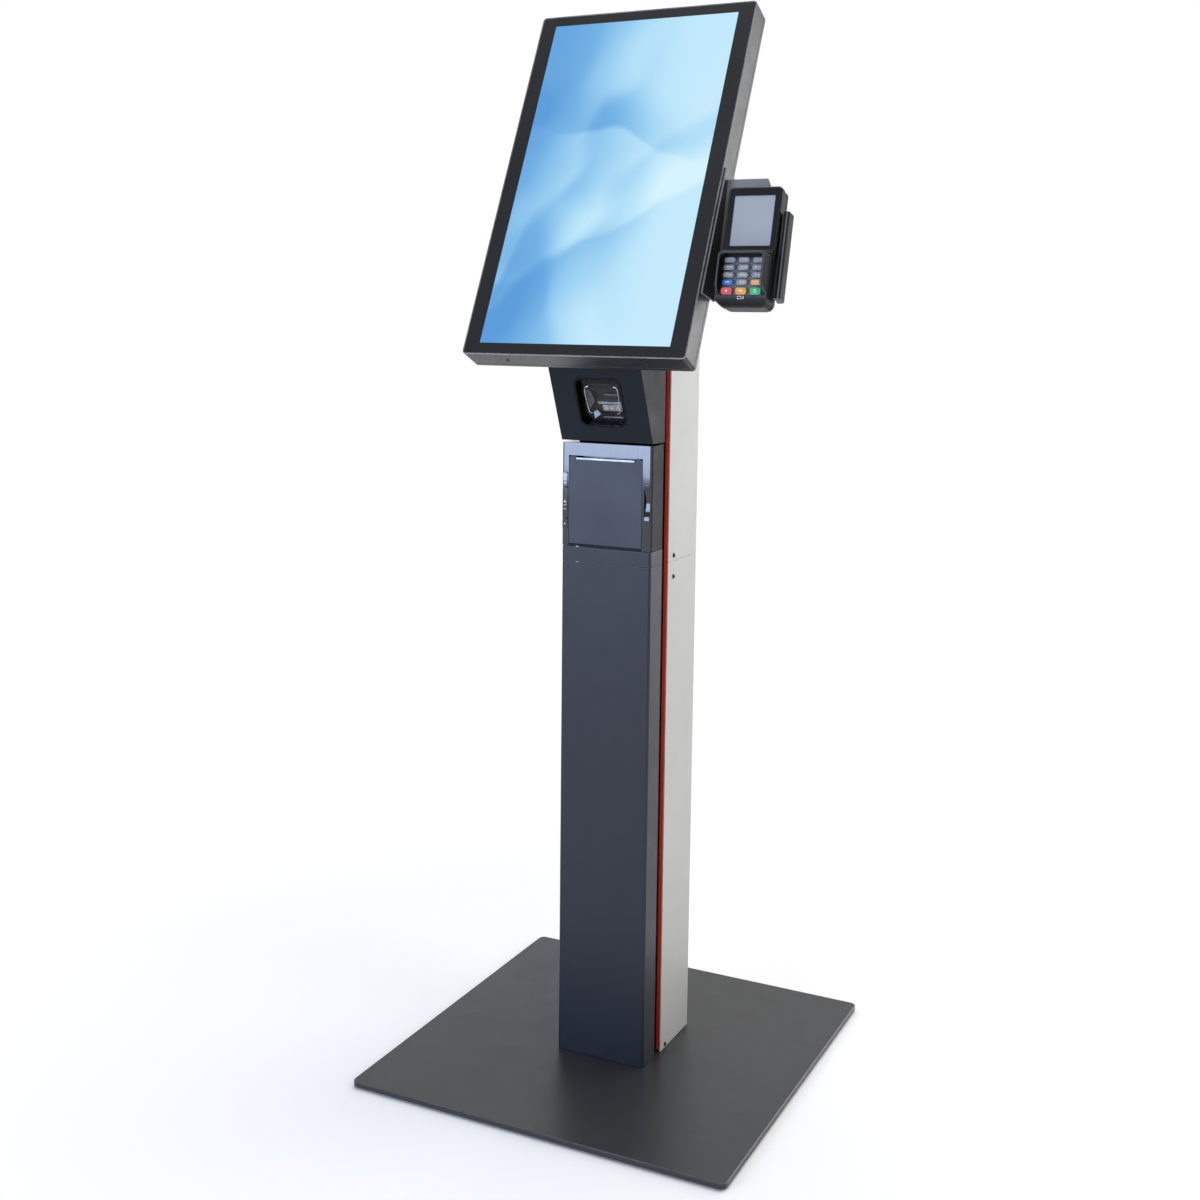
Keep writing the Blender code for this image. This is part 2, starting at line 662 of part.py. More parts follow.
def round_ear_ends(built, tip_axis, tip, side_axis, side):
    """Round the corners of both ears. The tips lie at one value of tip_axis, the ears' edges at
    plus and minus side on side_axis, with 1 for Y and 2 for Z."""
    def at_tip(vert):
        return abs(vert.co[tip_axis] - tip) < 0.01 * MM

    corners = []
    for edge in built.edges:
        first, second = edge.verts
        crosses_ear = abs(first.co.x - second.co.x) > 2 * MM
        at_side = abs(abs(first.co[side_axis]) - side) < 0.01 * MM
        if crosses_ear and at_side and at_tip(first) and at_tip(second):
            corners.append(edge)
    bmesh.ops.bevel(built, geom=corners, offset=EAR_ROUND, segments=4, affect="EDGES", profile=0.5)


def u_bracket(inner, thickness, low, base, high):
    """Outline of a U with its base between low and base and its legs up to high."""
    outer = inner + thickness
    return [(-outer, low), (outer, low), (outer, high), (inner, high), (inner, base),
            (-inner, base), (-inner, high), (-outer, high)]


def pin_hole(centre_z=0.0):
    radius = PIN_R + GAP
    reach = 2 * EAR_INNER
    return turned([(-reach, radius), (reach, radius)], "X", 20, (0.0, centre_z))


def build_tilt_mount(head):
    foot_z0 = COLUMN_TOP + CAP_T + 2 * GAP
    foot_z1 = foot_z0 + EAR_T
    ear_top = PIVOT_Z + EAR_REACH
    ears = prism(u_bracket(EAR_INNER, EAR_T, foot_z0, foot_z1, ear_top), -EAR_HALF, EAR_HALF, "Y")
    round_ear_ends(ears, 2, ear_top, 1, EAR_HALF)
    bracket = add_object("tilt_bracket", ears, head_paint())
    combine(bracket, box(-50 * MM, 50 * MM, -32 * MM, 40 * MM, foot_z0, foot_z1), "UNION")
    combine(bracket, pin_hole(PIVOT_Z), "DIFFERENCE")
    end = EAR_INNER + EAR_T + GAP
    tip = end + PIN_HEAD_T
    pin = turned([(-tip, PIN_HEAD_R - 1 * MM), (-end, PIN_HEAD_R), (-end, PIN_R), (end, PIN_R),
                  (end, PIN_HEAD_R), (tip, PIN_HEAD_R - 1 * MM)], "X", 20)
    add_object("tilt_pin", pin, bare_steel(), location=(0.0, 0.0, PIVOT_Z))

    half = MOUNT_PLATE_HALF
    plate_front = HEAD_REAR + GAP
    plate = prism(rounded_rectangle(-half, half, -half, half, 6 * MM, 3), plate_front,
                  plate_front + MOUNT_PLATE_T, "Y")
    add_object("mount_plate", plate, head_paint(), head)
    yoke_front = plate_front + MOUNT_PLATE_T + GAP
    yoke_inner = EAR_INNER - 1 * MM - YOKE_T
    fork = prism(u_bracket(yoke_inner, YOKE_T, yoke_front, yoke_front + YOKE_T, YOKE_REACH),
                 -YOKE_HALF, YOKE_HALF, "Z")
    round_ear_ends(fork, 1, YOKE_REACH, 2, YOKE_HALF)
    yoke = add_object("tilt_yoke", fork, head_paint(), head)
    combine(yoke, pin_hole(), "DIFFERENCE")


def vent_slots():
    """Two rows of upright slots through the rear cover."""
    slots = bmesh.new()
    for row_z in (-VENT_ROW_Z, VENT_ROW_Z):
        for column in range(VENT_COLUMNS):
            middle = (column - (VENT_COLUMNS - 1) / 2) * VENT_PITCH
            outline = rounded_rectangle(middle - VENT_HALF_W, middle + VENT_HALF_W,
                                        row_z - VENT_HALF_H, row_z + VENT_HALF_H, 1.4 * MM, 1)
            slot = prism(outline, HEAD_REAR - 3 * HEAD_WALL, HEAD_REAR + 3 * HEAD_WALL, "Y")
            bmesh.ops.recalc_face_normals(slot, faces=slot.faces)
            mesh = bpy.data.meshes.new("slot")
            slot.to_mesh(mesh)
            slot.free()
            slots.from_mesh(mesh)
            bpy.data.meshes.remove(mesh)
    return slots


def build_head(head):
    def outline(inset, corner):
        return rounded_rectangle(-HEAD_HALF_W + inset, HEAD_HALF_W - inset,
                                 -HEAD_HALF_H + inset, HEAD_HALF_H - inset, corner)

    wall = HEAD_WALL
    casing = ring(outline(0.0, HEAD_CORNER), outline(wall, HEAD_CORNER - wall), HEAD_FRONT, HEAD_SEAM, "Y")
    add_object("head_casing", casing, head_paint(), head)
    cover = pan(outline(0.0, HEAD_CORNER), outline(wall, HEAD_CORNER - wall),
                HEAD_SEAM + GAP, HEAD_REAR - wall, HEAD_REAR, "Y")
    rear_cover = add_object("head_rear_cover", cover, head_paint(), head)
    combine(rear_cover, vent_slots(), "DIFFERENCE")

    edge = wall + GAP
    glass = prism(outline(edge, HEAD_CORNER - edge), HEAD_FRONT, HEAD_FRONT + GLASS_T, "Y")
    add_object("cover_glass", glass, material("screen_glass", "2f2f33", 0.2), head)
    panel_front = HEAD_FRONT + GLASS_T + GAP
    panel = box(-PANEL_W / 2, PANEL_W / 2, panel_front, panel_front + PANEL_T, -PANEL_H / 2, PANEL_H / 2)
    add_object("display_panel", panel, material("lit_screen", "8fc4ee", 0.3), head)


# ---------------------------------------------------------------- payment terminal

def terminal_outline(inset=0.0):
    """Front view of the terminal, a little narrower at the keypad than at the display."""
    top = TERMINAL_HALF_TOP - inset
    low = TERMINAL_HALF_LOW - inset
    half = TERMINAL_HALF_H - inset
    upper = arc((top - 5 * MM, half - 5 * MM), 5 * MM, 0, 90, 3)
    lower = arc((low - CORNER_LOW_R, -half + CORNER_LOW_R), CORNER_LOW_R, -90, 0, 3)
    right = lower + [(low, -20 * MM), (top, 2 * MM)] + upper
    return right + [(-x, z) for x, z in reversed(right)]


def keypad_deck():
    """The raised part that carries the keys. It rolls back to the case at the chin."""
    root = 1.5 * MM
    rows = [(DECK_Z1, 0.5 * MM), (DECK_SHOULDER, -DECK)]
    rows += [(CHIN_Z - z, CHIN_R - DECK - y) for y, z in arc((0.0, 0.0), CHIN_R, 0, 90, 5)]
    corner_z = -TERMINAL_HALF_H + CORNER_LOW_R
    built = bmesh.new()
    loops = []
    for z, front in rows:
        into_corner = max(0.0, corner_z - z)
        half = TERMINAL_HALF_LOW - CORNER_LOW_R + math.sqrt(CORNER_LOW_R ** 2 - into_corner ** 2)
        corners = ((-half, front), (half, front), (half, front + root + DECK), (-half, front + root + DECK))
        loops.append([built.verts.new((x, min(y, root), z)) for x, y in corners])
    for first, second in zip(loops, loops[1:]):
        for i in range(4):
            j = (i + 1) % 4
            built.faces.new((first[i], first[j], second[j], second[i]))
    built.faces.new(loops[0])
    built.faces.new(loops[-1])
    return built


def build_terminal(frame):
    case_look = material("terminal_case", "2c2f32", 0.4)
    front_case = add_object("terminal_front_case", prism(terminal_outline(), 0.0, FRONT_CASE_T, "Y"),
                            case_look, frame)
    soften(front_case, 1.6 * MM, 1, 50)
    window = rounded_rectangle(-SCREEN_HALF_W, SCREEN_HALF_W, SCREEN_Z0, SCREEN_Z1, 1.5 * MM, 2)
    combine(front_case, prism(window, -SCREEN_POCKET, SCREEN_POCKET, "Y"), "DIFFERENCE")
    combine(front_case, keypad_deck(), "UNION")
    well = rounded_rectangle(-WELL_HALF_W, WELL_HALF_W, WELL_Z0, WELL_Z1, 2 * MM, 2)
    combine(front_case, prism(well, -DECK - WELL_DEPTH, -DECK + WELL_DEPTH, "Y"), "DIFFERENCE")
    back_case = prism(terminal_outline(0.8 * MM), FRONT_CASE_T + GAP, TERMINAL_T, "Y")
    add_object("terminal_back_case", back_case, case_look, frame)
    pane = rounded_rectangle(-SCREEN_HALF_W + GAP, SCREEN_HALF_W - GAP, SCREEN_Z0 + GAP, SCREEN_Z1 - GAP,
                             1.2 * MM, 2)
    add_object("terminal_display", prism(pane, 1.2 * MM, SCREEN_POCKET - GAP, "Y"),
               material("terminal_screen", "9fa0ac", 0.25), frame)

    # the card reader stands off the right side and leaves the swipe slot open
    root = TERMINAL_HALF_TOP + GAP
    outer = TERMINAL_HALF_TOP + READER_W
    wall = TERMINAL_HALF_TOP + READER_SLOT
    section = [(wall, 5 * MM), (outer - 2.5 * MM, 5 * MM), (outer, 8 * MM), (outer, TERMINAL_T - 3 * MM),
               (outer - 3 * MM, TERMINAL_T), (root, TERMINAL_T), (root, TERMINAL_T - 5 * MM),
               (wall, TERMINAL_T - 5 * MM)]
    add_object("card_reader_rail", prism(section, READER_Z0, READER_Z1, "Z"), case_look, frame)

    build_privacy_shield(frame, case_look)
    build_keys(frame)
    build_terminal_bracket(frame)


def shield_outline(lean, wall, end):
    """Three walls in front view, leaning in by the given amount, down to the given height."""
    outer = SHIELD_HALF_W - lean
    inner = outer - wall
    top = SHIELD_Z1 - 0.4 * lean
    under = top - wall
    cut = SHIELD_CORNER
    left = [(-outer, end), (-outer, top - cut), (-outer + cut, top)]
    left_inside = [(-inner + cut, under), (-inner, under - cut), (-inner, end)]
    right = [(-x, z) for x, z in reversed(left)]
    right_inside = [(-x, z) for x, z in reversed(left_inside)]
    return left + right + right_inside + left_inside


def build_privacy_shield(frame, look):
    """Walls round three sides of the keypad. They lean in, and slope down at their lower ends."""
    base = shield_outline(0.0, SHIELD_WALL, SHIELD_Z0)
    top = shield_outline(SHIELD_LEAN, SHIELD_EDGE, SHIELD_TIP)
    built = bmesh.new()
    low = [built.verts.new((x, -DECK - GAP, z)) for x, z in base]
    high = [built.verts.new((x, -DECK - SHIELD_HEIGHT, z)) for x, z in top]
    count = len(low)
    for i in range(count):
        j = (i + 1) % count
        built.faces.new((low[i], low[j], high[j], high[i]))
    built.faces.new(low)
    built.faces.new(high)
    add_object("privacy_shield", built, look, frame)


def key_name(row, column):
    names = (("1", "2", "3"), ("4", "5", "6"), ("7", "8", "9"),
             ("function", "0", "menu"), ("cancel", "clear", "enter"))
    return "key_" + names[row][column]


def key_look(row, column):
    colours = {(3, 0): ("key_blue", "3f6fb5"), (3, 2): ("key_amber", "e8a860"), (4, 0): ("key_red", "d8565c"),
               (4, 1): ("key_yellow", "e9a43f"), (4, 2): ("key_green", "3fb877")}
    name, colour = colours.get((row, column), ("key_grey", "8b9098"))
    return material(name, colour, 0.4)


def build_keys(frame):
    for row in range(KEY_ROWS):
        height = ACTION_KEY_H if row == KEY_ROWS - 1 else KEY_H
        drop = row * KEY_PITCH_Z
        if row == KEY_ROWS - 1:
            drop = (row - 1) * KEY_PITCH_Z + ACTION_KEY_DROP
        for column in range(KEY_COLUMNS):
            outline = rounded_rectangle(-KEY_W / 2, KEY_W / 2, -height / 2, height / 2, 2.6 * MM, 2)
            key = add_object(key_name(row, column), prism(outline, -KEY_PROUD, KEY_ROOT, "Y"),
                             key_look(row, column), frame,
                             ((column - 1) * KEY_PITCH_X, -DECK, KEY_TOP_ROW - drop))
            soften(key, 0.7 * MM, 1, 60)


def build_terminal_bracket(frame):
    """Side plate on the head, and a leg behind the terminal."""
    side_x0 = HEAD_HALF_W + GAP - TERMINAL_X
    leg_front = TERMINAL_T + LEG_BEHIND
    leg_back = leg_front + BRACKET_T
    side = [(24 * MM, 111 * MM), (54 * MM, 106 * MM), (leg_back, 4 * MM),
            (leg_back, LEG_Z0), (-7 * MM, LEG_Z0)]
    bracket = add_object("terminal_bracket", prism(side, side_x0, side_x0 + BRACKET_T, "X"),
                         head_paint(), frame)
    weld = 0.5 * MM
    leg = [(side_x0 + weld, LEG_Z0 + weld), (LEG_END, LEG_Z0 + weld), (LEG_END, LEG_Z1 - 9 * MM),
           (LEG_END - 4.5 * MM, LEG_Z1), (side_x0 + weld, LEG_Z1)]
    combine(bracket, prism(leg, leg_front, leg_back, "Y"), "UNION")
    cradle = rounded_rectangle(-30 * MM, 4 * MM, -40 * MM, 40 * MM, 4 * MM, 2)
    add_object("terminal_cradle", prism(cradle, TERMINAL_T + GAP, leg_front - GAP, "Y"),
               dark_plastic(), frame)


# ---------------------------------------------------------------- whole kiosk

def main():
    for item in list(bpy.data.objects):
        bpy.data.objects.remove(item)
    build_floor_plate()
    build_mast()
    build_covers()
    build_rear_shells()
    build_red_trims()
    build_cap()
    build_power_inlet()
    build_printer_housing()
    build_printer_controls()
    build_printer_door()
    build_paper_parts()
    build_scanner()
    head = empty("head_pivot", (0.0, 0.0, PIVOT_Z), -TILT)
    build_tilt_mount(head)
    build_head(head)
    terminal = empty("terminal_frame", (TERMINAL_X, TERMINAL_DEPTH, TERMINAL_UP), TERMINAL_UPRIGHT, head)
    build_terminal(terminal)


main()
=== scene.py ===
"""Looks of the touchscreen kiosk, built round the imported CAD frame. Units are metres."""

import json
import math

import bmesh
import bpy
from mathutils import Matrix, Vector


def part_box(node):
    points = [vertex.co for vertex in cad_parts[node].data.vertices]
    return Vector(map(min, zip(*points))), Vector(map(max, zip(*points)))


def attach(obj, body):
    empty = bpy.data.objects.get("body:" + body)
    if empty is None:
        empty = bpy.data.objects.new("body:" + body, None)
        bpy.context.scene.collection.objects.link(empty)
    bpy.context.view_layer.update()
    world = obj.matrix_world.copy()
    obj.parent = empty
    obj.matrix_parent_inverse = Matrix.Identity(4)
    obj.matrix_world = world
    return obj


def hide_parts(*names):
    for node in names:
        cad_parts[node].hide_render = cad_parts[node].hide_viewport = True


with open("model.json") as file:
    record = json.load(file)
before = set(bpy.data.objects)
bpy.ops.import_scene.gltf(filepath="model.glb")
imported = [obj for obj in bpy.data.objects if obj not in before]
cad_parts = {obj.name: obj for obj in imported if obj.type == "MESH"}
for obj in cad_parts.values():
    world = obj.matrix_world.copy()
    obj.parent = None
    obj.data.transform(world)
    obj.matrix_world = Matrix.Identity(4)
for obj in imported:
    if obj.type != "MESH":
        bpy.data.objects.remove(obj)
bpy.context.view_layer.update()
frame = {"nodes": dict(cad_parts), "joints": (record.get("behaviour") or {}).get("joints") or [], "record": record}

MM = 0.001
MERGE = 0.002 * MM            # points nearer than this are one
BLACK = (0.0, 0.0, 0.0, 1.0)
WHITE = (1.0, 1.0, 1.0, 1.0)

BODIES = frame["record"]["behaviour"]["bodies"]
BODY_OF = {node: body for body, nodes in BODIES.items() for node in nodes}
SLOT_OF = {part["node"]: part["material_slot"] for part in frame["record"]["subparts"]}
JOINTS = {joint["name"]: joint for joint in frame["joints"]}

# the frames of the leaning parts, as in the CAD
HEAD_TILT = math.radians(25.5)
TERMINAL_UPRIGHT = math.radians(10.5)
HOOD_LEAN = math.radians(22.7)
TERMINAL_ORIGIN = Vector((211 * MM, -67.2 * MM, -103 * MM))
HEAD_FRAME = Matrix.Translation(JOINTS["head_tilt"]["pos_m"]) @ Matrix.Rotation(-HEAD_TILT, 4, "X")
TERMINAL_FRAME = (HEAD_FRAME @ Matrix.Translation(TERMINAL_ORIGIN)
                  @ Matrix.Rotation(TERMINAL_UPRIGHT, 4, "X"))
HOOD_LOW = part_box("scanner_hood")[0]
COVER_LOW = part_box("front_cover")[0]
RECESS_UP_FACE = 57 * MM
SCANNER_FRAME = (Matrix.Translation((0.0, COVER_LOW.y - RECESS_UP_FACE * math.sin(HOOD_LEAN),
                                     HOOD_LOW.z + RECESS_UP_FACE * math.cos(HOOD_LEAN)))
                 @ Matrix.Rotation(HOOD_LEAN, 4, "X"))
WORLD_FRAME = Matrix.Identity(4)


# ---------------------------------------------------------------- materials

def linear(code):
    """An sRGB hex colour as linear RGBA."""
    values = []
    for start in (0, 2, 4):
        value = int(code[start:start + 2], 16) / 255
        values.append(value / 12.92 if value <= 0.04045 else ((value + 0.055) / 1.055) ** 2.4)
    return (*values, 1.0)


class Look:
    """A Principled material and short ways to wire nodes into it."""

    def __init__(self, name, roughness=0.5, metallic=0.0, specular=0.5, coat=0.0, coat_roughness=0.1):
        self.material = bpy.data.materials.new(name)
        self.material.use_nodes = True
        self.tree = self.material.node_tree
        self.shader = self.tree.nodes["Principled BSDF"]
        self.put("Roughness", roughness)
        self.put("Metallic", metallic)
        self.put("Specular IOR Level", specular)
        self.put("Coat Weight", coat)
        self.put("Coat Roughness", coat_roughness)
        self.place = self.node("ShaderNodeTexCoord").outputs["Object"]

    def put(self, socket, value):
        self.shader.inputs[socket].default_value = value

    def node(self, kind, **settings):
        made = self.tree.nodes.new(kind)
        for key, value in settings.items():
            setattr(made, key, value)
        return made

    def feed(self, target, value):
        """Link a socket, or set a plain value."""
        if isinstance(value, bpy.types.NodeSocket):
            self.tree.links.new(value, target)
        elif isinstance(value, str):
            target.default_value = linear(value)
        else:
            target.default_value = value

    def stretch(self, scale, turn=(0.0, 0.0, 0.0)):
        made = self.node("ShaderNodeMapping")
        self.feed(made.inputs["Vector"], self.place)
        made.inputs["Scale"].default_value = scale
        made.inputs["Rotation"].default_value = turn
        return made.outputs["Vector"]

    def noise(self, scale, detail=2.0, rough=0.5, place=None, distort=0.0):
        made = self.node("ShaderNodeTexNoise")
        self.feed(made.inputs["Vector"], place or self.place)
        made.inputs["Scale"].default_value = scale
        made.inputs["Detail"].default_value = detail
        made.inputs["Roughness"].default_value = rough
        made.inputs["Distortion"].default_value = distort
        return made.outputs["Fac"]

    def cells(self, scale):
        made = self.node("ShaderNodeTexVoronoi")
        self.feed(made.inputs["Vector"], self.place)
        made.inputs["Scale"].default_value = scale
        return made.outputs["Distance"]

    def math(self, operation, first, second=0.0, clamp=False):
        made = self.node("ShaderNodeMath", operation=operation, use_clamp=clamp)
        self.feed(made.inputs[0], first)
        self.feed(made.inputs[1], second)
        return made.outputs[0]

    def remap(self, value, low, high, to_low, to_high, smooth=False):
        made = self.node("ShaderNodeMapRange", interpolation_type="SMOOTHSTEP" if smooth else "LINEAR")
        for index, item in enumerate((value, low, high, to_low, to_high)):
            self.feed(made.inputs[index], item)
        return made.outputs[0]

    def mix(self, share, first, second):
        made = self.node("ShaderNodeMix", data_type="RGBA")
        first_colour, second_colour, result_colour = 6, 7, 2
        self.feed(made.inputs[0], share)
        self.feed(made.inputs[first_colour], first)
        self.feed(made.inputs[second_colour], second)
        return made.outputs[result_colour]

    def split(self):
        """The point's x, y and z."""
        made = self.node("ShaderNodeSeparateXYZ")
        self.feed(made.inputs[0], self.place)
        return made.outputs

    def bump(self, height, distance, strength=1.0, before=None):
        made = self.node("ShaderNodeBump")
        self.feed(made.inputs["Height"], height)
        made.inputs["Distance"].default_value = distance
        made.inputs["Strength"].default_value = strength
        if before:
            self.feed(made.inputs["Normal"], before)
        return made.outputs["Normal"]

    def edge(self):
        """1 on the rounded edges that fine() makes, 0 elsewhere: where the looks paint a highlight."""
        return self.node("ShaderNodeAttribute", attribute_name="edge").outputs["Fac"]

    def colour(self, value):
        self.feed(self.shader.inputs["Base Color"], value)

    def roughness(self, value):
        self.feed(self.shader.inputs["Roughness"], value)

    def normal(self, value):
        self.feed(self.shader.inputs["Normal"], value)


def powder_coat(name, body, edge, roughness, specular=0.5, grain=0.9 * MM, depth=0.02 * MM):
    """Baked paint: orange peel, fine grain, faint handling marks, and a painted highlight on the rounded edges,
    which are also a little less rough.
    """
    look = Look(name, roughness, 0.0, specular)
    cloud = look.noise(5.0, 3.0)
    smudge = look.noise(22.0, 4.0, 0.6, distort=0.6)
    speck = look.noise(1.0 / grain, 2.0, 0.6)
    tone = look.mix(look.remap(cloud, 0.3, 0.7, 0.0, 0.10), body, BLACK)
    tone = look.mix(look.remap(speck, 0.52, 0.75, 0.0, 0.10), tone, edge)
    # painted highlight: the rounded edges take the lighter edge colour, patchy by the smudge noise, and lose a
    # little roughness
    edge_highlight_and_polish = look.math("MULTIPLY", look.edge(), look.remap(smudge, 0.3, 0.65, 0.45, 1.0))
    look.colour(look.mix(edge_highlight_and_polish, tone, edge))
    base = look.remap(smudge, 0.3, 0.7, roughness - 0.05, roughness + 0.06)
    look.roughness(look.math("SUBTRACT", base, look.math("MULTIPLY", edge_highlight_and_polish, 0.08), clamp=True))
    peel = look.bump(look.noise(0.35 / grain, 1.0), 2.0 * depth)
    look.normal(look.bump(speck, depth, before=peel))
    return look.material


def moulded(name, body, edge, roughness, specular=0.5, grain=0.6 * MM, depth=0.02 * MM):
    """Moulded plastic: spark-eroded grain, faint swirl marks and a painted highlight on the rounded edges."""
    look = Look(name, roughness, 0.0, specular, 0.0, 0.06)
    cloud = look.noise(14.0, 3.0)
    pits = look.cells(1.0 / grain)
    scratch = look.noise(240.0, 2.0, 0.6, look.stretch((1.0, 0.12, 0.5), (0.3, 0.2, 0.5)))
    tone = look.mix(look.remap(cloud, 0.3, 0.7, 0.0, 0.14), body, BLACK)
    # painted highlight: the rounded edges take the lighter edge colour
    look.colour(look.mix(look.math("MULTIPLY", look.edge(), 0.8), tone, edge))
    rough = look.remap(cloud, 0.25, 0.75, roughness - 0.03, roughness + 0.04)
    rough = look.math("ADD", rough, look.remap(scratch, 0.6, 0.75, 0.0, 0.05), clamp=True)
    look.roughness(rough)
    look.normal(look.bump(pits, depth))
    return look.material


def gloss(name, body, edge, roughness=0.08, coat=1.0, specular=0.5):
    """Polished plastic with hairline scuffs and dust under a clear top layer."""
    look = Look(name, roughness, 0.0, specular, coat, 0.04)
    cloud = look.noise(9.0, 2.0)
    hair = look.noise(500.0, 1.0, 0.5, look.stretch((1.0, 0.08, 0.05), (0.1, 0.5, 0.9)))
    dust = look.remap(look.cells(700.0), 0.02, 0.10, 1.0, 0.0)
    tone = look.mix(look.remap(cloud, 0.3, 0.7, 0.0, 0.2), body, edge)
    # painted highlight: the rounded edges take the lighter edge colour
    look.colour(look.mix(look.math("MULTIPLY", look.edge(), 0.7), tone, edge))
    rough = look.math("ADD", look.remap(hair, 0.62, 0.8, roughness, roughness + 0.12),
                      look.math("MULTIPLY", dust, 0.1))
    look.roughness(look.math("ADD", rough, look.remap(cloud, 0.3, 0.7, 0.0, 0.04), clamp=True))
    wave = look.bump(look.noise(45.0, 1.0), 0.05 * MM)
    look.normal(look.bump(dust, 0.003 * MM, before=wave))
    return look.material


def metal(name, body, bright, roughness):
    """Brushed or turned metal with fine lines along X."""
    look = Look(name, roughness, 1.0)
    lines = look.noise(1.0, 3.0, 0.7, look.stretch((4.0, 600.0, 600.0)))
    stain = look.noise(60.0, 3.0)
    look.colour(look.mix(look.remap(stain, 0.35, 0.7, 0.0, 1.0), bright, body))
    look.roughness(look.remap(lines, 0.3, 0.7, roughness - 0.08, roughness + 0.14))
    look.normal(look.bump(lines, 0.01 * MM))
    return look.material


def rubber(name, body, edge, roughness=0.75):
    """Matte rubber with fine pits and a little dust."""
    look = Look(name, roughness, 0.0, 0.3)
    dust = look.noise(130.0, 4.0, 0.65)
    pits = look.cells(1500.0)
    tone = look.mix(look.remap(dust, 0.45, 0.75, 0.0, 0.5), body, edge)
    # painted highlight: the rounded edges take the lighter edge colour
    look.colour(look.mix(look.math("MULTIPLY", look.edge(), 0.6), tone, edge))
    look.roughness(look.remap(dust, 0.3, 0.7, roughness - 0.1, roughness + 0.08))
    look.normal(look.bump(pits, 0.03 * MM))
    return look.material


def silicone_key(name, body, edge):
    """Soft key cap: a satin skin, a little cloudy."""
    look = Look(name, 0.38, 0.0, 0.45)
    cloud = look.noise(160.0, 3.0)
    skin = look.noise(2500.0, 1.0)
    tone = look.mix(look.remap(cloud, 0.35, 0.7, 0.0, 0.35), body, edge)
    # painted highlight: the rounded edges take the lighter edge colour
    look.colour(look.mix(look.math("MULTIPLY", look.edge(), 0.7), tone, edge))
    look.roughness(look.remap(cloud, 0.3, 0.7, 0.30, 0.46))
    look.normal(look.bump(skin, 0.01 * MM))
    return look.material


LAYER_RATE = 9000.0           # radians of the paper's ring pattern in a metre of radius


def paper_look():
    """Wound receipt paper: the layers show as rings on the ends."""
    look = Look("receipt_paper", 0.8, 0.0, 0.2)
    low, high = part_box("paper_roll")
    centre = (low + high) / 2
    _, y, z = look.split()
    across = look.math("SUBTRACT", y, centre.y)
    up = look.math("SUBTRACT", z, centre.z)
    radius = look.math("SQRT", look.math("ADD", look.math("MULTIPLY", across, across),
                                         look.math("MULTIPLY", up, up)))
    layers = look.math("SINE", look.math("MULTIPLY", radius, LAYER_RATE))
    fibre = look.noise(900.0, 3.0)
    tone = look.mix(look.remap(layers, -1.0, 1.0, 0.0, 0.5), "f3f2ee", "c9c7c0")
    look.colour(look.mix(look.remap(fibre, 0.4, 0.7, 0.0, 0.25), tone, "dddbd4"))
    look.roughness(look.remap(fibre, 0.3, 0.7, 0.72, 0.86))
    look.normal(look.bump(layers, 0.02 * MM, 0.5, look.bump(fibre, 0.01 * MM)))
    return look.material


SCREEN_HALF_W = 133.9 * MM
SCREEN_HALF_H = 238 * MM
# folds on the screen: direction in degrees, place, warp, crest width, fade and weight, dark if negative
FOLDS = (
    (118.0, -0.55, 0.60, 0.16, 0.90, 0.34),
    (70.0, 0.30, 0.46, 0.07, 0.70, -0.26),
    (152.0, 0.36, 0.50, 0.12, 0.55, 0.24),
    (-42.0, 0.10, 0.60, 0.20, 0.80, -0.20),
    (24.0, -1.05, 0.50, 0.18, 0.60, 0.22),
)
SCREEN_RAMP = ((0.0, "5a9bd8"), (0.25, "72b0e2"), (0.5, "98cdef"), (0.75, "bbe4f8"), (1.0, "d4f1fc"))


def screen_look():
    """A lit wallpaper of soft folded light, blue on the left and pale on the right."""
    look = Look("lit_screen", 0.16, 0.0, 0.35)
    x, _, z = look.split()
    across = look.math("DIVIDE", x, SCREEN_HALF_W)
    up = look.math("DIVIDE", z, SCREEN_HALF_W)
    light = look.remap(across, -1.1, 0.75, 0.06, 0.80, smooth=True)
    light = look.math("ADD", light, look.remap(up, -2.0, 2.0, 0.04, 0.0))
    for index, (turn, offset, warp, crest, fade, weight) in enumerate(FOLDS):
        angle = math.radians(turn)
        drift = look.noise(1.0, 1.5, 0.45, look.stretch((5.5, 5.5, 4.2), (0.7 * index, 0.0, 1.9 * index)))
        along = look.math("ADD", look.math("MULTIPLY", across, math.cos(angle)),
                          look.math("MULTIPLY", up, math.sin(angle)))
        along = look.math("ADD", along, look.math("MULTIPLY", look.math("SUBTRACT", drift, 0.5), 2.6 * warp))
        along = look.math("SUBTRACT", along, offset)
        rise = look.remap(along, 0.0, crest, 0.0, 1.0, smooth=True)
        fall = look.remap(along, crest, crest + fade, 1.0, 0.0, smooth=True)
        patch = look.noise(1.0, 1.0, 0.5, look.stretch((7.0, 7.0, 5.0), (0.0, 1.3 * index, 0.4)))
        veil = look.math("MULTIPLY", look.math("MULTIPLY", rise, fall),
                         look.remap(patch, 0.38, 0.62, 0.0, 1.0, smooth=True))
        light = look.math("ADD", light, look.math("MULTIPLY", veil, weight))
    ramp = look.node("ShaderNodeValToRGB")
    look.feed(ramp.inputs[0], light)
    elements = ramp.color_ramp.elements
    while len(elements) < len(SCREEN_RAMP):
        elements.new(0.5)
    for element, (position, code) in zip(elements, SCREEN_RAMP):
        element.position = position
        element.color = linear(code)
    picture = ramp.outputs[0]
    look.colour(look.mix(0.92, picture, BLACK))
    look.feed(look.shader.inputs["Emission Color"], picture)
    look.put("Emission Strength", 0.93)
    film = look.noise(30.0, 3.0)
    look.roughness(look.remap(film, 0.35, 0.7, 0.13, 0.21))
    look.normal(look.bump(look.noise(4000.0, 1.0), 0.002 * MM))
    return look.material


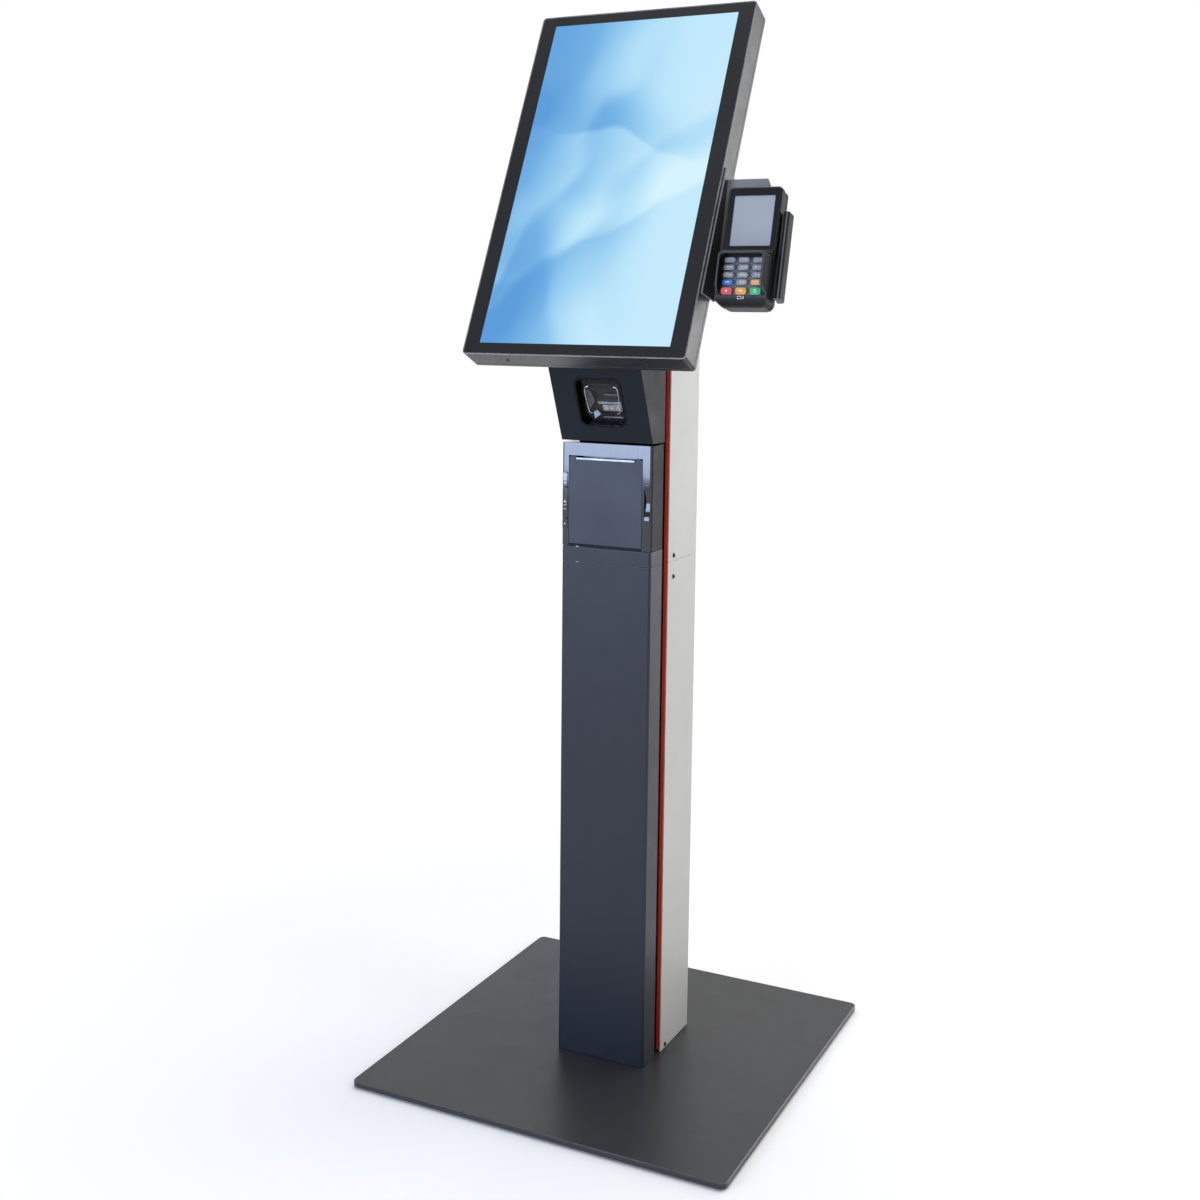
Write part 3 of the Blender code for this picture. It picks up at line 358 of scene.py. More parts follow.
def glow(name, code, strength, roughness=0.3):
    """A small lamp lens."""
    look = Look(name, roughness, 0.0, 0.6, 0.5)
    grain = look.noise(900.0, 2.0)
    tone = look.mix(look.remap(grain, 0.35, 0.65, 0.0, 0.35), code, "ffffff")
    look.colour(tone)
    look.feed(look.shader.inputs["Emission Color"], tone)
    look.put("Emission Strength", strength)
    look.roughness(look.remap(grain, 0.3, 0.7, roughness - 0.1, roughness + 0.1))
    return look.material


def window_glass():
    """A tinted pane with faint smears."""
    look = Look("scanner_glass", 0.04, 0.0, 0.6)
    smear = look.noise(60.0, 4.0, 0.6)
    look.colour(look.mix(look.remap(smear, 0.35, 0.7, 0.0, 1.0), "0b0d10", "1c2228"))
    look.roughness(look.remap(smear, 0.35, 0.7, 0.02, 0.09))
    look.put("Alpha", 0.22)
    return look.material


# in the paint, plastic, rubber and key looks the colour after the body is painted on the rounded edges as a
# highlight; some also use it for grain, dust or tone
LOOKS = {
    "plate_paint": powder_coat("plate_paint", "2f3032", "5b5c60", 0.34, 0.45, 0.8 * MM, 0.02 * MM),
    "cover_paint": powder_coat("cover_paint", "1b222e", "5f6a7d", 0.42, 0.42, 0.7 * MM),
    "shell_paint": powder_coat("shell_paint", "b8b9b6", "e2e2e0", 0.42, 0.4, 0.7 * MM),
    "head_paint": powder_coat("head_paint", "1b1b1e", "98989c", 0.34, 0.6, 0.7 * MM),
    "mast_steel": powder_coat("mast_steel", "0c0c0d", "1c1d1f", 0.6, 0.25),
    "red_trim": moulded("red_trim", "ea3d28", "f4664c", 0.34, 0.5),
    "pad_rubber": rubber("pad_rubber", "151516", "3a3a3b"),
    "dark_plastic": moulded("dark_plastic", "121316", "3a3d42", 0.42),
    "gloss_plastic": gloss("gloss_plastic", "0e1420", "39414f", 0.08, 0.5),
    "door_plastic": moulded("door_plastic", "1b2535", "566379", 0.42),
    "status_lens": gloss("status_lens", "10161f", "2c3a4d"),
    "bare_steel": metal("bare_steel", "6c6e71", "a4a6a9", 0.34),
    "platen_rubber": rubber("platen_rubber", "1a1b1d", "35363a", 0.6),
    "receipt_paper": paper_look(),
    "scanner_gloss": gloss("scanner_gloss", "040507", "0c0e12", 0.10, 0.0, 0.16),
    "scanner_glass": window_glass(),
    "lamp_silver": metal("lamp_silver", "8d98a3", "d5dde4", 0.22),
    "screen_glass": gloss("screen_glass", "1b1b1d", "2b2b2f", 0.30, 0.2),
    "lit_screen": screen_look(),
    "terminal_case": moulded("terminal_case", "121416", "6d7277", 0.40, 0.34),
    "terminal_screen": moulded("terminal_screen", "a8aeb7", "c4c8ce", 0.22, grain=0.3 * MM, depth=0.002 * MM),
    "key_grey": silicone_key("key_grey", "8f949b", "cdd1d6"),
    "key_blue": silicone_key("key_blue", "3773c2", "7ba6e2"),
    "key_amber": silicone_key("key_amber", "edab68", "f8d0a0"),
    "key_red": silicone_key("key_red", "da5258", "f09698"),
    "key_yellow": silicone_key("key_yellow", "e89f44", "f8c580"),
    "key_green": silicone_key("key_green", "3db477", "86dbae"),
}
# looks for nodes, sides and marks that their slot's look doesn't suit
HOOD_PAINT = powder_coat("hood_paint", "111922", "2c343f", 0.50, 0.18, 0.7 * MM)
# painted sheen: a light grey on the bracket's front, top and leg copies the light it reflects; its sides keep the
# dark head paint
LEG_PAINTED_SHEEN = powder_coat("leg_painted_sheen", "88898c", "98989c", 0.40, 0.5, 0.7 * MM)
# painted shade: a darker, less shiny copy of the terminal case plastic for the terminal's sides
SHADED_CASE_SIDE = moulded("shaded_case_side", "0b0c0d", "5c6064", 0.52, 0.16)
HEAD_LEFT_PAINT = powder_coat("head_left_paint", "1b1b1e", "98989c", 0.62, 0.2, 0.7 * MM)
KEYPAD_PLATE = moulded("keypad_plate", "73767e", "9a9ea5", 0.42, 0.4)
WHITE_INK = moulded("white_ink", "e6e9ee", "ffffff", 0.5, 0.3)
SCREW_BLACK = powder_coat("screw_black", "101114", "4a4b50", 0.36, 0.5, 0.4 * MM, 0.01 * MM)
# glow of the status lamps, and a painted reflection on the scanner mirror, which is no lamp
BLUE_LAMP_AND_MIRROR_GLOW = glow("blue_lamp_and_mirror_glow", "a8c9ea", 0.35)
LAMP_WHITE = glow("lamp_white", "c3ced8", 0.25)


# ---------------------------------------------------------------- pieces

SMOOTH_ANGLE = math.radians(35)     # edges sharper than this stay sharp in the shading
FLAT_ANGLE = math.radians(0.6)      # faces nearer than this are one flat face
BEVEL_ANGLE = 40                    # degrees: edges sharper than this are rounded
BEVEL_STEPS = 2


def add_piece(name, built, slot, body, frame_matrix=WORLD_FRAME, look=None):
    """Link a bmesh as a piece that rides on a body."""
    bmesh.ops.recalc_face_normals(built, faces=built.faces)
    mesh = bpy.data.meshes.new(name)
    built.to_mesh(mesh)
    built.free()
    mesh.shade_smooth()
    mesh.set_sharp_from_angle(angle=SMOOTH_ANGLE)
    mesh.materials.append(look or LOOKS[slot])
    piece = bpy.data.objects.new(name, mesh)
    piece.matrix_world = frame_matrix
    bpy.context.scene.collection.objects.link(piece)
    flat = piece.modifiers.new("flat_faces", "WEIGHTED_NORMAL")
    flat.keep_sharp = True
    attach(piece, body)
    return piece


def round_edges(built, width, segments=BEVEL_STEPS, angle=BEVEL_ANGLE):
    """Bevel the sharp edges and mark the new faces, where the materials paint a highlight."""
    layer = built.faces.layers.float.get("edge") or built.faces.layers.float.new("edge")
    sharp = []
    for edge in built.edges:
        if edge.is_manifold and edge.calc_face_angle(0.0) > math.radians(angle):
            sharp.append(edge)
    if not sharp:
        return
    made = bmesh.ops.bevel(built, geom=sharp, offset=width, segments=segments, profile=0.5,
                           affect="EDGES", clamp_overlap=True)
    for face in made["faces"]:
        face[layer] = 1.0


def fine(node, width, look=None, side_look=None, sides=(-1, 1)):
    """The same shape as a CAD node, with its sharp edges rounded. Its sides can have a look of their own."""
    built = bmesh.new()
    built.from_mesh(frame["nodes"][node].data)
    bmesh.ops.remove_doubles(built, verts=built.verts, dist=MERGE)
    bmesh.ops.dissolve_limit(built, angle_limit=FLAT_ANGLE, verts=built.verts, edges=built.edges)
    round_edges(built, width)
    piece = add_piece(node + "_skin", built, SLOT_OF[node], BODY_OF[node], look=look)
    if side_look:
        piece.data.materials.append(side_look)
        for face in piece.data.polygons:
            if max(way * face.normal.x for way in sides) > 0.7:
                face.material_index = 1
    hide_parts(node)


# how far each node's sharp edges are rounded
FINE_EDGES = {
    "base_plate": 1.4 * MM,
    "front_cover": 0.5 * MM, "cover_band": 0.5 * MM, "upper_front_cover": 0.5 * MM,
    "rear_shell_lower": 0.5 * MM, "rear_shell_upper": 0.5 * MM, "column_cap": 0.6 * MM,
    "red_trim_left": 0.5 * MM, "red_trim_right": 0.5 * MM,
    "printer_door": 0.5 * MM, "printer_housing": 0.5 * MM, "tear_bar": 0.2 * MM,
    "feed_button": 0.4 * MM, "power_button": 0.4 * MM, "status_strip": 0.4 * MM, "release_lever": 0.5 * MM,
    "scanner_hood": 0.35 * MM, "scanner_bezel": 0.3 * MM, "scanner_engine": 0.6 * MM,
    "head_casing": 0.8 * MM, "head_rear_cover": 0.5 * MM,
    "tilt_bracket": 0.6 * MM, "tilt_yoke": 0.5 * MM, "mount_plate": 0.5 * MM, "tilt_pin": 0.6 * MM,
    "terminal_back_case": 1.5 * MM, "card_reader_rail": 0.8 * MM, "privacy_shield": 0.6 * MM,
    "terminal_bracket": 0.6 * MM, "terminal_cradle": 0.8 * MM, "power_inlet": 0.4 * MM,
    "terminal_front_case": 0.5 * MM,
}


# the look of a node, of its sides, and which sides, where its slot's look doesn't suit
NODE_LOOKS = {
    "scanner_hood": (HOOD_PAINT,),
    "printer_housing": (LOOKS["gloss_plastic"], HOOD_PAINT),
    "display_panel": (LOOKS["mast_steel"],),
    "head_casing": (LOOKS["head_paint"], HEAD_LEFT_PAINT, (-1,)),
    # the bracket's light grey is painted sheen; its sides keep the dark head paint
    "terminal_bracket": (LEG_PAINTED_SHEEN, LOOKS["head_paint"]),
    # the terminal's sides take the darker copy of the case plastic as painted shade
    "terminal_back_case": (LOOKS["terminal_case"], SHADED_CASE_SIDE),
    "terminal_front_case": (LOOKS["terminal_case"], SHADED_CASE_SIDE),
    "card_reader_rail": (LOOKS["terminal_case"], SHADED_CASE_SIDE),
    "privacy_shield": (LOOKS["terminal_case"], SHADED_CASE_SIDE),
}


def finish_cad_nodes():
    """Fine edges where they show, and a better material on every node."""
    for name, node in frame["nodes"].items():
        node.data.materials.clear()
        node.data.materials.append(NODE_LOOKS.get(name, (LOOKS[SLOT_OF[name]],))[0])
        if name in FINE_EDGES:
            fine(name, FINE_EDGES[name], *NODE_LOOKS.get(name, ()))


def extrude(outline, low, high, hole=None):
    """A prism from an (x, z) outline between two y values, with an optional hole of as many points."""
    built = bmesh.new()
    if hole is None:
        front = [built.verts.new((x, low, z)) for x, z in outline]
        back = [built.verts.new((x, high, z)) for x, z in outline]
        count = len(front)
        built.faces.new(front)
        built.faces.new(back)
        for i in range(count):
            j = (i + 1) % count
            built.faces.new((front[i], front[j], back[j], back[i]))
        return built
    loops = []
    for points, level in ((outline, low), (outline, high), (hole, high), (hole, low)):
        loops.append([built.verts.new((x, level, z)) for x, z in points])
    count = len(outline)
    for first, second in zip(loops, loops[1:] + loops[:1]):
        for i in range(count):
            j = (i + 1) % count
            built.faces.new((first[i], first[j], second[j], second[i]))
    return built


def arc(centre, radius, start, end, steps=5):
    """Points along an arc. Its angles are in degrees."""
    points = []
    for step in range(steps + 1):
        angle = math.radians(start + (end - start) * step / steps)
        points.append((centre[0] + radius * math.cos(angle), centre[1] + radius * math.sin(angle)))
    return points


def rounded(half_w, half_h, radius, centre=(0.0, 0.0)):
    """The outline of a rectangle with rounded corners."""
    cx, cz = centre
    return (arc((cx + half_w - radius, cz - half_h + radius), radius, -90, 0)
            + arc((cx + half_w - radius, cz + half_h - radius), radius, 0, 90)
            + arc((cx - half_w + radius, cz + half_h - radius), radius, 90, 180)
            + arc((cx - half_w + radius, cz - half_h + radius), radius, 180, 270))


def turned(profile, segments=24):
    """A solid of revolution about Y from (y, radius) points. A third value gives a ring that many flats."""
    built = bmesh.new()
    rings = []
    for y, radius, *flats in profile:
        ring = []
        for i in range(segments):
            angle = 2 * math.pi * i / segments
            reach = radius
            if flats:
                half = math.pi / flats[0]
                reach = radius * math.cos(half) / math.cos(angle % (2 * half) - half)
            ring.append(built.verts.new((reach * math.cos(angle), y, reach * math.sin(angle))))
        rings.append(ring)
    for first, second in zip(rings, rings[1:]):
        for i in range(segments):
            j = (i + 1) % segments
            built.faces.new((first[i], first[j], second[j], second[i]))
    built.faces.new(rings[0])
    built.faces.new(rings[-1])
    return built


ROD_SIDES = 8


def bent_rod(points, radius):
    """A round rod along a list of points, closed at both ends."""
    built = bmesh.new()
    path = [Vector(point) for point in points]
    rings = []
    for index, point in enumerate(path):
        before = path[max(index - 1, 0)]
        after = path[min(index + 1, len(path) - 1)]
        along = (after - before).normalized()
        if index == 0:
            first = along.orthogonal().normalized()
        else:
            first = (first - along * first.dot(along)).normalized()
        second = along.cross(first)
        ring = []
        for i in range(ROD_SIDES):
            angle = 2 * math.pi * i / ROD_SIDES
            reach = math.cos(angle) * first + math.sin(angle) * second
            ring.append(built.verts.new(point + radius * reach))
        rings.append(ring)
    for one, two in zip(rings, rings[1:]):
        for i in range(ROD_SIDES):
            j = (i + 1) % ROD_SIDES
            built.faces.new((one[i], one[j], two[j], two[i]))
    built.faces.new(rings[0])
    built.faces.new(rings[-1])
    return built


def softened(built, bevel):
    """The same mesh with its normals outwards and its edges rounded."""
    bmesh.ops.recalc_face_normals(built, faces=built.faces)
    round_edges(built, bevel)
    return built


def block(x0, x1, y0, y1, z0, z1, bevel=0.3 * MM):
    """A bar with rounded edges."""
    built = extrude([(x0, z0), (x1, z0), (x1, z1), (x0, z1)], y0, y1)
    return softened(built, bevel)


def facing(place, direction):
    """A frame at a place whose -Y axis points outwards."""
    return Matrix.Translation(place) @ Vector(direction).to_track_quat("-Y", "Z").to_matrix().to_4x4()


def screw(name, body, frame_matrix, radius):
    """A button-head screw with a hexagonal socket, standing on a surface."""
    rise = 0.5 * radius
    profile = [(0.1 * MM, 0.96 * radius), (-0.3 * rise, radius), (-0.72 * rise, 0.86 * radius),
               (-rise, 0.62 * radius), (-rise, 0.52 * radius, 6), (-0.3 * rise, 0.50 * radius, 6)]
    add_piece(name, turned(profile), SLOT_OF["mast"], body, frame_matrix, SCREW_BLACK)


INK_THICKNESS = 0.12 * MM


def lettering(name, text, height, slot, body, frame_matrix):
    """Raised marks cut from the built-in font, centred on the frame's origin."""
    curve = bpy.data.curves.new(name, "FONT")
    curve.body = text
    curve.size = height
    curve.align_x = "CENTER"
    curve.align_y = "CENTER"
    curve.extrude = INK_THICKNESS
    curve.resolution_u = 3
    source = bpy.data.objects.new(name, curve)
    bpy.context.scene.collection.objects.link(source)
    bpy.context.view_layer.update()
    mesh = bpy.data.meshes.new_from_object(source)
    bpy.data.objects.remove(source)
    bpy.data.curves.remove(curve)
    built = bmesh.new()
    built.from_mesh(mesh)
    bpy.data.meshes.remove(mesh)
    bmesh.ops.remove_doubles(built, verts=built.verts, dist=MERGE)
    bmesh.ops.transform(built, matrix=Matrix.Rotation(math.pi / 2, 4, "X"), verts=built.verts)
    add_piece(name, built, slot, body, frame_matrix, WHITE_INK)


# ---------------------------------------------------------------- display

GLASS_FRONT = -67.5 * MM
GLASS_T = 3 * MM
HEAD_BACK = -30.5 * MM
HEAD_BOTTOM = -254 * MM
MOUNT_PLATE_BACK = -27.2 * MM
BORDER_HALF_W = 154.9 * MM
BORDER_HALF_H = 251.9 * MM
BORDER_CORNER_R = 3 * MM
PICTURE_CORNER_R = 0.3 * MM
PICTURE_GAP = 0.02 * MM
PICTURE_SUNK = 0.05 * MM


def build_display():
    """The dark border of the cover glass, and the lit picture inside it."""
    outer = rounded(BORDER_HALF_W, BORDER_HALF_H, BORDER_CORNER_R)
    inner = rounded(SCREEN_HALF_W, SCREEN_HALF_H, PICTURE_CORNER_R)
    border = extrude(outer, GLASS_FRONT, GLASS_FRONT + GLASS_T, inner)
    round_edges(border, 0.15 * MM, 1, 60)
    border = add_piece("screen_border", border, "screen_glass", "head", HEAD_FRAME)
    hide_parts("cover_glass")
    outline = rounded(SCREEN_HALF_W - PICTURE_GAP, SCREEN_HALF_H - PICTURE_GAP, PICTURE_CORNER_R)
    picture = extrude(outline, GLASS_FRONT + PICTURE_SUNK, GLASS_FRONT + GLASS_T)
    picture = add_piece("screen_picture", picture, "lit_screen", "head", HEAD_FRAME)
    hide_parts("cover_glass")


# screw centres in mm: (y, z) on the column's sides, (x, z) on the head
PANEL_SCREWS = ((11, 715), (10.6, 686), (9, 16))
REAR_COVER_SCREWS = ((-147, 240), (147, 240), (-147, 0), (147, 0), (-147, -240), (147, -240))
MOUNT_SCREWS = ((-50, 50), (50, 50), (-50, -50), (50, -50))
UNDERSIDE_SCREWS_X = (-98, 98)
UNDERSIDE_SCREWS_Y = -49 * MM
PANEL_SCREW_R = 3.2 * MM
REAR_COVER_SCREW_R = 3 * MM
MOUNT_SCREW_R = 4 * MM
UNDERSIDE_SCREW_R = 2.2 * MM


def on_head(x, y, z, direction):
    """A frame at a place on the head, facing outwards."""
    turn = HEAD_FRAME.to_3x3()
    return facing(HEAD_FRAME @ Vector((x, y, z)), turn @ Vector(direction))


def build_screws():
    low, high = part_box("rear_shell_lower")
    for side_name, x, way in (("left", low.x, -1), ("right", high.x, 1)):
        for index, (y, z) in enumerate(PANEL_SCREWS):
            frame_matrix = facing((x, y * MM, z * MM), (way, 0, 0))
            screw("panel_screw_%s_%d" % (side_name, index), "stand", frame_matrix, PANEL_SCREW_R)
    for index, (x, z) in enumerate(REAR_COVER_SCREWS):
        frame_matrix = on_head(x * MM, HEAD_BACK, z * MM, (0, 1, 0))
        screw("rear_cover_screw_%d" % index, "head", frame_matrix, REAR_COVER_SCREW_R)
    for index, (x, z) in enumerate(MOUNT_SCREWS):
        frame_matrix = on_head(x * MM, MOUNT_PLATE_BACK, z * MM, (0, 1, 0))
        screw("mount_screw_%d" % index, "head", frame_matrix, MOUNT_SCREW_R)
    for index, x in enumerate(UNDERSIDE_SCREWS_X):
        frame_matrix = on_head(x * MM, UNDERSIDE_SCREWS_Y, HEAD_BOTTOM, (0, 0, -1))
        screw("underside_screw_%d" % index, "head", frame_matrix, UNDERSIDE_SCREW_R)


# ---------------------------------------------------------------- scanner

# the right clip's bends in mm, as x, y into the recess and z up the face; the left clip mirrors them
CLIP_BENDS = ((18.5, 8.6, 19.0), (22.0, 8.4, 18.6), (24.0, 8.4, 16.0), (24.2, 8.2, 6.0),
              (23.4, 8.2, -6.0), (22.6, 8.2, -16.0), (21.4, 8.4, -18.6), (18.0, 8.6, -19.4))
CLIP_R = 0.55 * MM
# bars in mm, as x, y and z from and to, and how far the edges are rounded
LAMP_BOARD = (-4, 24, 13, 16.5, -18, -9, 0.4)
SHELF = (-10, 24, 12.4, 17.5, -7.6, -4.6, 0.5)
SILL = (-4, 24, 11.6, 13.6, -27.5, -25.6, 0.5)
RAIL = (2, 22, 12.4, 14.4, 4.6, 6.8, 0.5)
# each lens as (y, radius) in mm, and the places of the lenses
LENS_PROFILE = ((0.0, 2.9), (-0.8, 2.9), (-1.7, 2.3), (-2.2, 1.3), (-2.4, 0.5))
LENSES_X = (1.5, 10.0, 18.5)
LENS_Y = 13.2 * MM
LENS_Z = -13.6 * MM
# two angled parts, as (x, z) outlines in mm
MIRROR = ((-17.5, -29), (-8, -22.5), (-12.5, -16.6), (-18, -19.5))
CHEEK = ((-25, -18), (-14, -4), (-18, 10), (-25, 14))
# two dark plates at the top of the recess, one above and behind the other
PLATES_Z = (12.0, 17.0)
PLATE_H = 3.6
PLATE_Y = 12.6
PLATE_T = 2.0
HOOD_WALL = 3 * MM


def build_scanner_parts():
    """What shows through the window: a wire clip, a mirror, plates, and lamps on a small board."""
    def put(name, built, slot, look=None):
        return add_piece(name, built, slot, "stand", SCANNER_FRAME, look)

    def bar(*sizes):
        return block(*(size * MM for size in sizes))

    def angled(outline, low, high):
        return softened(extrude([(x * MM, z * MM) for x, z in outline], low, high), 0.3 * MM)

    for name, way in (("clip_left", -1), ("clip_right", 1)):
        rod = bent_rod([(way * x * MM, y * MM, z * MM) for x, y, z in CLIP_BENDS], CLIP_R)
        put("scanner_" + name, rod, "lamp_silver")

    board = put("scanner_lamp_board", bar(*LAMP_BOARD), "lamp_silver")
    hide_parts("scanner_lamps")
    for index, x in enumerate(LENSES_X):
        lens = turned([(y * MM, radius * MM) for y, radius in LENS_PROFILE])
        bmesh.ops.translate(lens, vec=(x * MM, LENS_Y, LENS_Z), verts=lens.verts)
        lens = put("scanner_lens_%d" % index, lens, "lamp_silver", LAMP_WHITE)
        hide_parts("scanner_lamps")
    put("scanner_shelf", bar(*SHELF), "lamp_silver")
    put("scanner_sill", bar(*SILL), "lamp_silver")
    put("scanner_rail", bar(*RAIL), "dark_plastic", KEYPAD_PLATE)
    # painted reflection: the mirror glows with the blue lamp look
    put("scanner_mirror", angled(MIRROR, 11.2 * MM, 13 * MM), "lamp_silver", BLUE_LAMP_AND_MIRROR_GLOW)
    put("scanner_cheek", angled(CHEEK, 12 * MM, 14 * MM), "dark_plastic", KEYPAD_PLATE)

    # closes the hood from behind, so that no light comes through
    low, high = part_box("scanner_hood")
    back = block(low.x + HOOD_WALL, high.x - HOOD_WALL, high.y - 4 * MM, high.y - 2.5 * MM,
                 low.z + HOOD_WALL, high.z - HOOD_WALL)
    add_piece("hood_back_plate", back, "dark_plastic", "stand", WORLD_FRAME, LOOKS["mast_steel"])
    for index, z in enumerate(PLATES_Z):
        y = PLATE_Y + index
        put("scanner_plate_%d" % index, bar(-19, 14, y, y + PLATE_T, z, z + PLATE_H, 0.5), "dark_plastic")


# ---------------------------------------------------------------- printer

STRIP_X = -61.5 * MM              # the middle of the status strip and its buttons
STATUS_LAMPS_Z = (813.2, 818.0, 822.8)
FEED_BARS_Z = (778.0, 783.5)
FEED_ARROW_Z = 787.0 * MM
POWER_MARK_Z = 758 * MM
MARK_FRONT = -0.15 * MM
MARK_BACK = 0.1 * MM


def build_printer_marks():
    """A near-black strip as painted shade in the gap under the door, and small marks on the status strip and
    buttons.
    """
    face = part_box("printer_housing")[0]
    door_low, door_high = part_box("printer_door")
    # painted shade: a near-black strip laid on the housing face below the door, where the gap is in shade
    sill = block(door_low.x, door_high.x, face.y - 0.2 * MM, face.y + 0.3 * MM,
                 face.z + 0.3 * MM, door_low.z - 0.4 * MM, 0.08 * MM)
    add_piece("door_gap_shade", sill, "dark_plastic", "stand", WORLD_FRAME, LOOKS["mast_steel"])

    def mark(name, built, node, body, z, look):
        place = Matrix.Translation((STRIP_X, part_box(node)[0].y, z))
        add_piece(name, built, "status_lens", body, place, look)

    for index, z in enumerate(STATUS_LAMPS_Z):
        lens = turned([(0.1 * MM, 1.1 * MM), (-0.25 * MM, 1.1 * MM), (-0.45 * MM, 0.7 * MM)], 16)
        mark("status_lamp_%d" % index, lens, "status_strip", "stand", z * MM, BLUE_LAMP_AND_MIRROR_GLOW)
    for index, z in enumerate(FEED_BARS_Z):
        bar = block(-2.0 * MM, 2.0 * MM, MARK_FRONT, MARK_BACK, -0.35 * MM, 0.35 * MM, 0.08 * MM)
        mark("feed_mark_%d" % index, bar, "feed_button", "feed_button", z * MM, WHITE_INK)
    arrow = extrude([(-2.0 * MM, 0.0), (2.0 * MM, 0.0), (0.0, 3.2 * MM)], MARK_FRONT, MARK_BACK)
    mark("feed_arrow", arrow, "feed_button", "feed_button", FEED_ARROW_Z, WHITE_INK)
    dot = turned([(0.1 * MM, 0.9 * MM), (-0.2 * MM, 0.9 * MM), (-0.35 * MM, 0.5 * MM)], 16)
    mark("power_mark", dot, "power_button", "power_button", POWER_MARK_Z, LAMP_WHITE)


# ---------------------------------------------------------------- payment terminal

KEY_FACE = -11.4 * MM
DIGITS = (1, 2, 3, 4, 5, 6, 7, 8, 9, 0)
DIGIT_HEIGHT = 4.6 * MM
DIGIT_X = -1.6 * MM
INK_FRONT = -0.14 * MM
INK_BACK = 0.08 * MM
INK_BEVEL = 0.05 * MM
CHIN_PLACE = (0.0, -9.0 * MM, -66.3 * MM)
CHIN_LEAN = math.radians(22)
CARD_X = -1.6 * MM
WAVE_X = 1.6 * MM
WAVE_RADII = (1.2, 2.4)
WAVE_HALF_T = 0.3 * MM
PLATE_HALF_W = 26.6 * MM
PLATE_HALF_H = 23.6 * MM
PLATE_Z = -39.6 * MM
PLATE_FRONT = -6.75 * MM
PLATE_BACK = -6.2 * MM


def on_key(node):
    """A frame on the key's face, at its middle."""
    low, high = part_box(node)
    local = TERMINAL_FRAME.inverted() @ ((low + high) / 2)
    return TERMINAL_FRAME @ Matrix.Translation((local.x, KEY_FACE, local.z))


def build_key_marks():
    """Digits, a dash beside every digit but the 1, and plain symbols on the coloured keys."""
    for digit in DIGITS:
        node = "key_%d" % digit
        place = on_key(node) @ Matrix.Translation((DIGIT_X, 0, 0))
        lettering(node + "_digit", str(digit), DIGIT_HEIGHT, SLOT_OF[node], node, place)
        if digit != 1:
            dash = block(0.9 * MM, 4.4 * MM, -0.12 * MM, INK_BACK, -0.45 * MM, 0.35 * MM, INK_BEVEL)
            add_piece(node + "_dash", dash, SLOT_OF[node], node, on_key(node), WHITE_INK)

    def mark(name, built, node):
        add_piece(name, built, SLOT_OF[node], node, on_key(node), WHITE_INK)

    def wide_bar(half_w, half_h):
        return block(-half_w, half_w, INK_FRONT, INK_BACK, -half_h, half_h, INK_BEVEL)

    mark("function_mark", wide_bar(2.6 * MM, 0.5 * MM), "key_function")
    mark("menu_mark", wide_bar(2.4 * MM, 0.4 * MM), "key_menu")
    mark("cancel_mark", turned([(INK_BACK, 1.3 * MM), (INK_FRONT, 1.3 * MM)], 20), "key_cancel")
    arrow = [(-2.6 * MM, 0.0), (-1.0 * MM, -1.2 * MM), (2.4 * MM, -1.2 * MM), (2.4 * MM, 1.2 * MM),
             (-1.0 * MM, 1.2 * MM)]
    mark("clear_mark", extrude(arrow, INK_FRONT, INK_BACK), "key_clear")
    outer = arc((0.0, 0.0), 1.9 * MM, 0, 360, 20)[:-1]
    inner = arc((0.0, 0.0), 1.2 * MM, 0, 360, 20)[:-1]
    mark("enter_mark", extrude(outer, INK_FRONT, INK_BACK, inner), "key_enter")


def build_chin_marks():
    """A card and two waves on the chin, where a card is held."""
    chin = TERMINAL_FRAME @ Matrix.Translation(CHIN_PLACE) @ Matrix.Rotation(CHIN_LEAN, 4, "X")

    def on_chin(name, outline, hole=None):
        built = extrude(outline, -0.1 * MM, 0.2 * MM, hole)
        add_piece(name, built, "terminal_case", "head", chin, WHITE_INK)

    on_chin("card_mark", rounded(2.6 * MM, 1.9 * MM, 0.5 * MM, (CARD_X, 0.0)),
            rounded(2.0 * MM, 1.3 * MM, 0.2 * MM, (CARD_X, 0.0)))
    for index, radius in enumerate(WAVE_RADII):
        bow = arc((WAVE_X, 0.0), radius * MM + WAVE_HALF_T, -50, 50, 8)
        bow += reversed(arc((WAVE_X, 0.0), radius * MM - WAVE_HALF_T, -50, 50, 8))
        on_chin("wave_mark_%d" % index, bow)


def build_keypad_plate():
    """The plate round the keys, on the floor of the well."""
    plate = extrude(rounded(PLATE_HALF_W, PLATE_HALF_H, 1.8 * MM, (0.0, PLATE_Z)), PLATE_FRONT, PLATE_BACK)
    bmesh.ops.recalc_face_normals(plate, faces=plate.faces)
    round_edges(plate, 0.15 * MM, 1)
    add_piece("keypad_plate", plate, "terminal_case", "head", TERMINAL_FRAME, KEYPAD_PLATE)


# ---------------------------------------------------------------- studio

FLOOR_HALF = 12.0
FLOOR_DROP = 0.2 * MM
FADE_START = 0.30             # distances from the column between which the floor turns white
FADE_END = 1.15


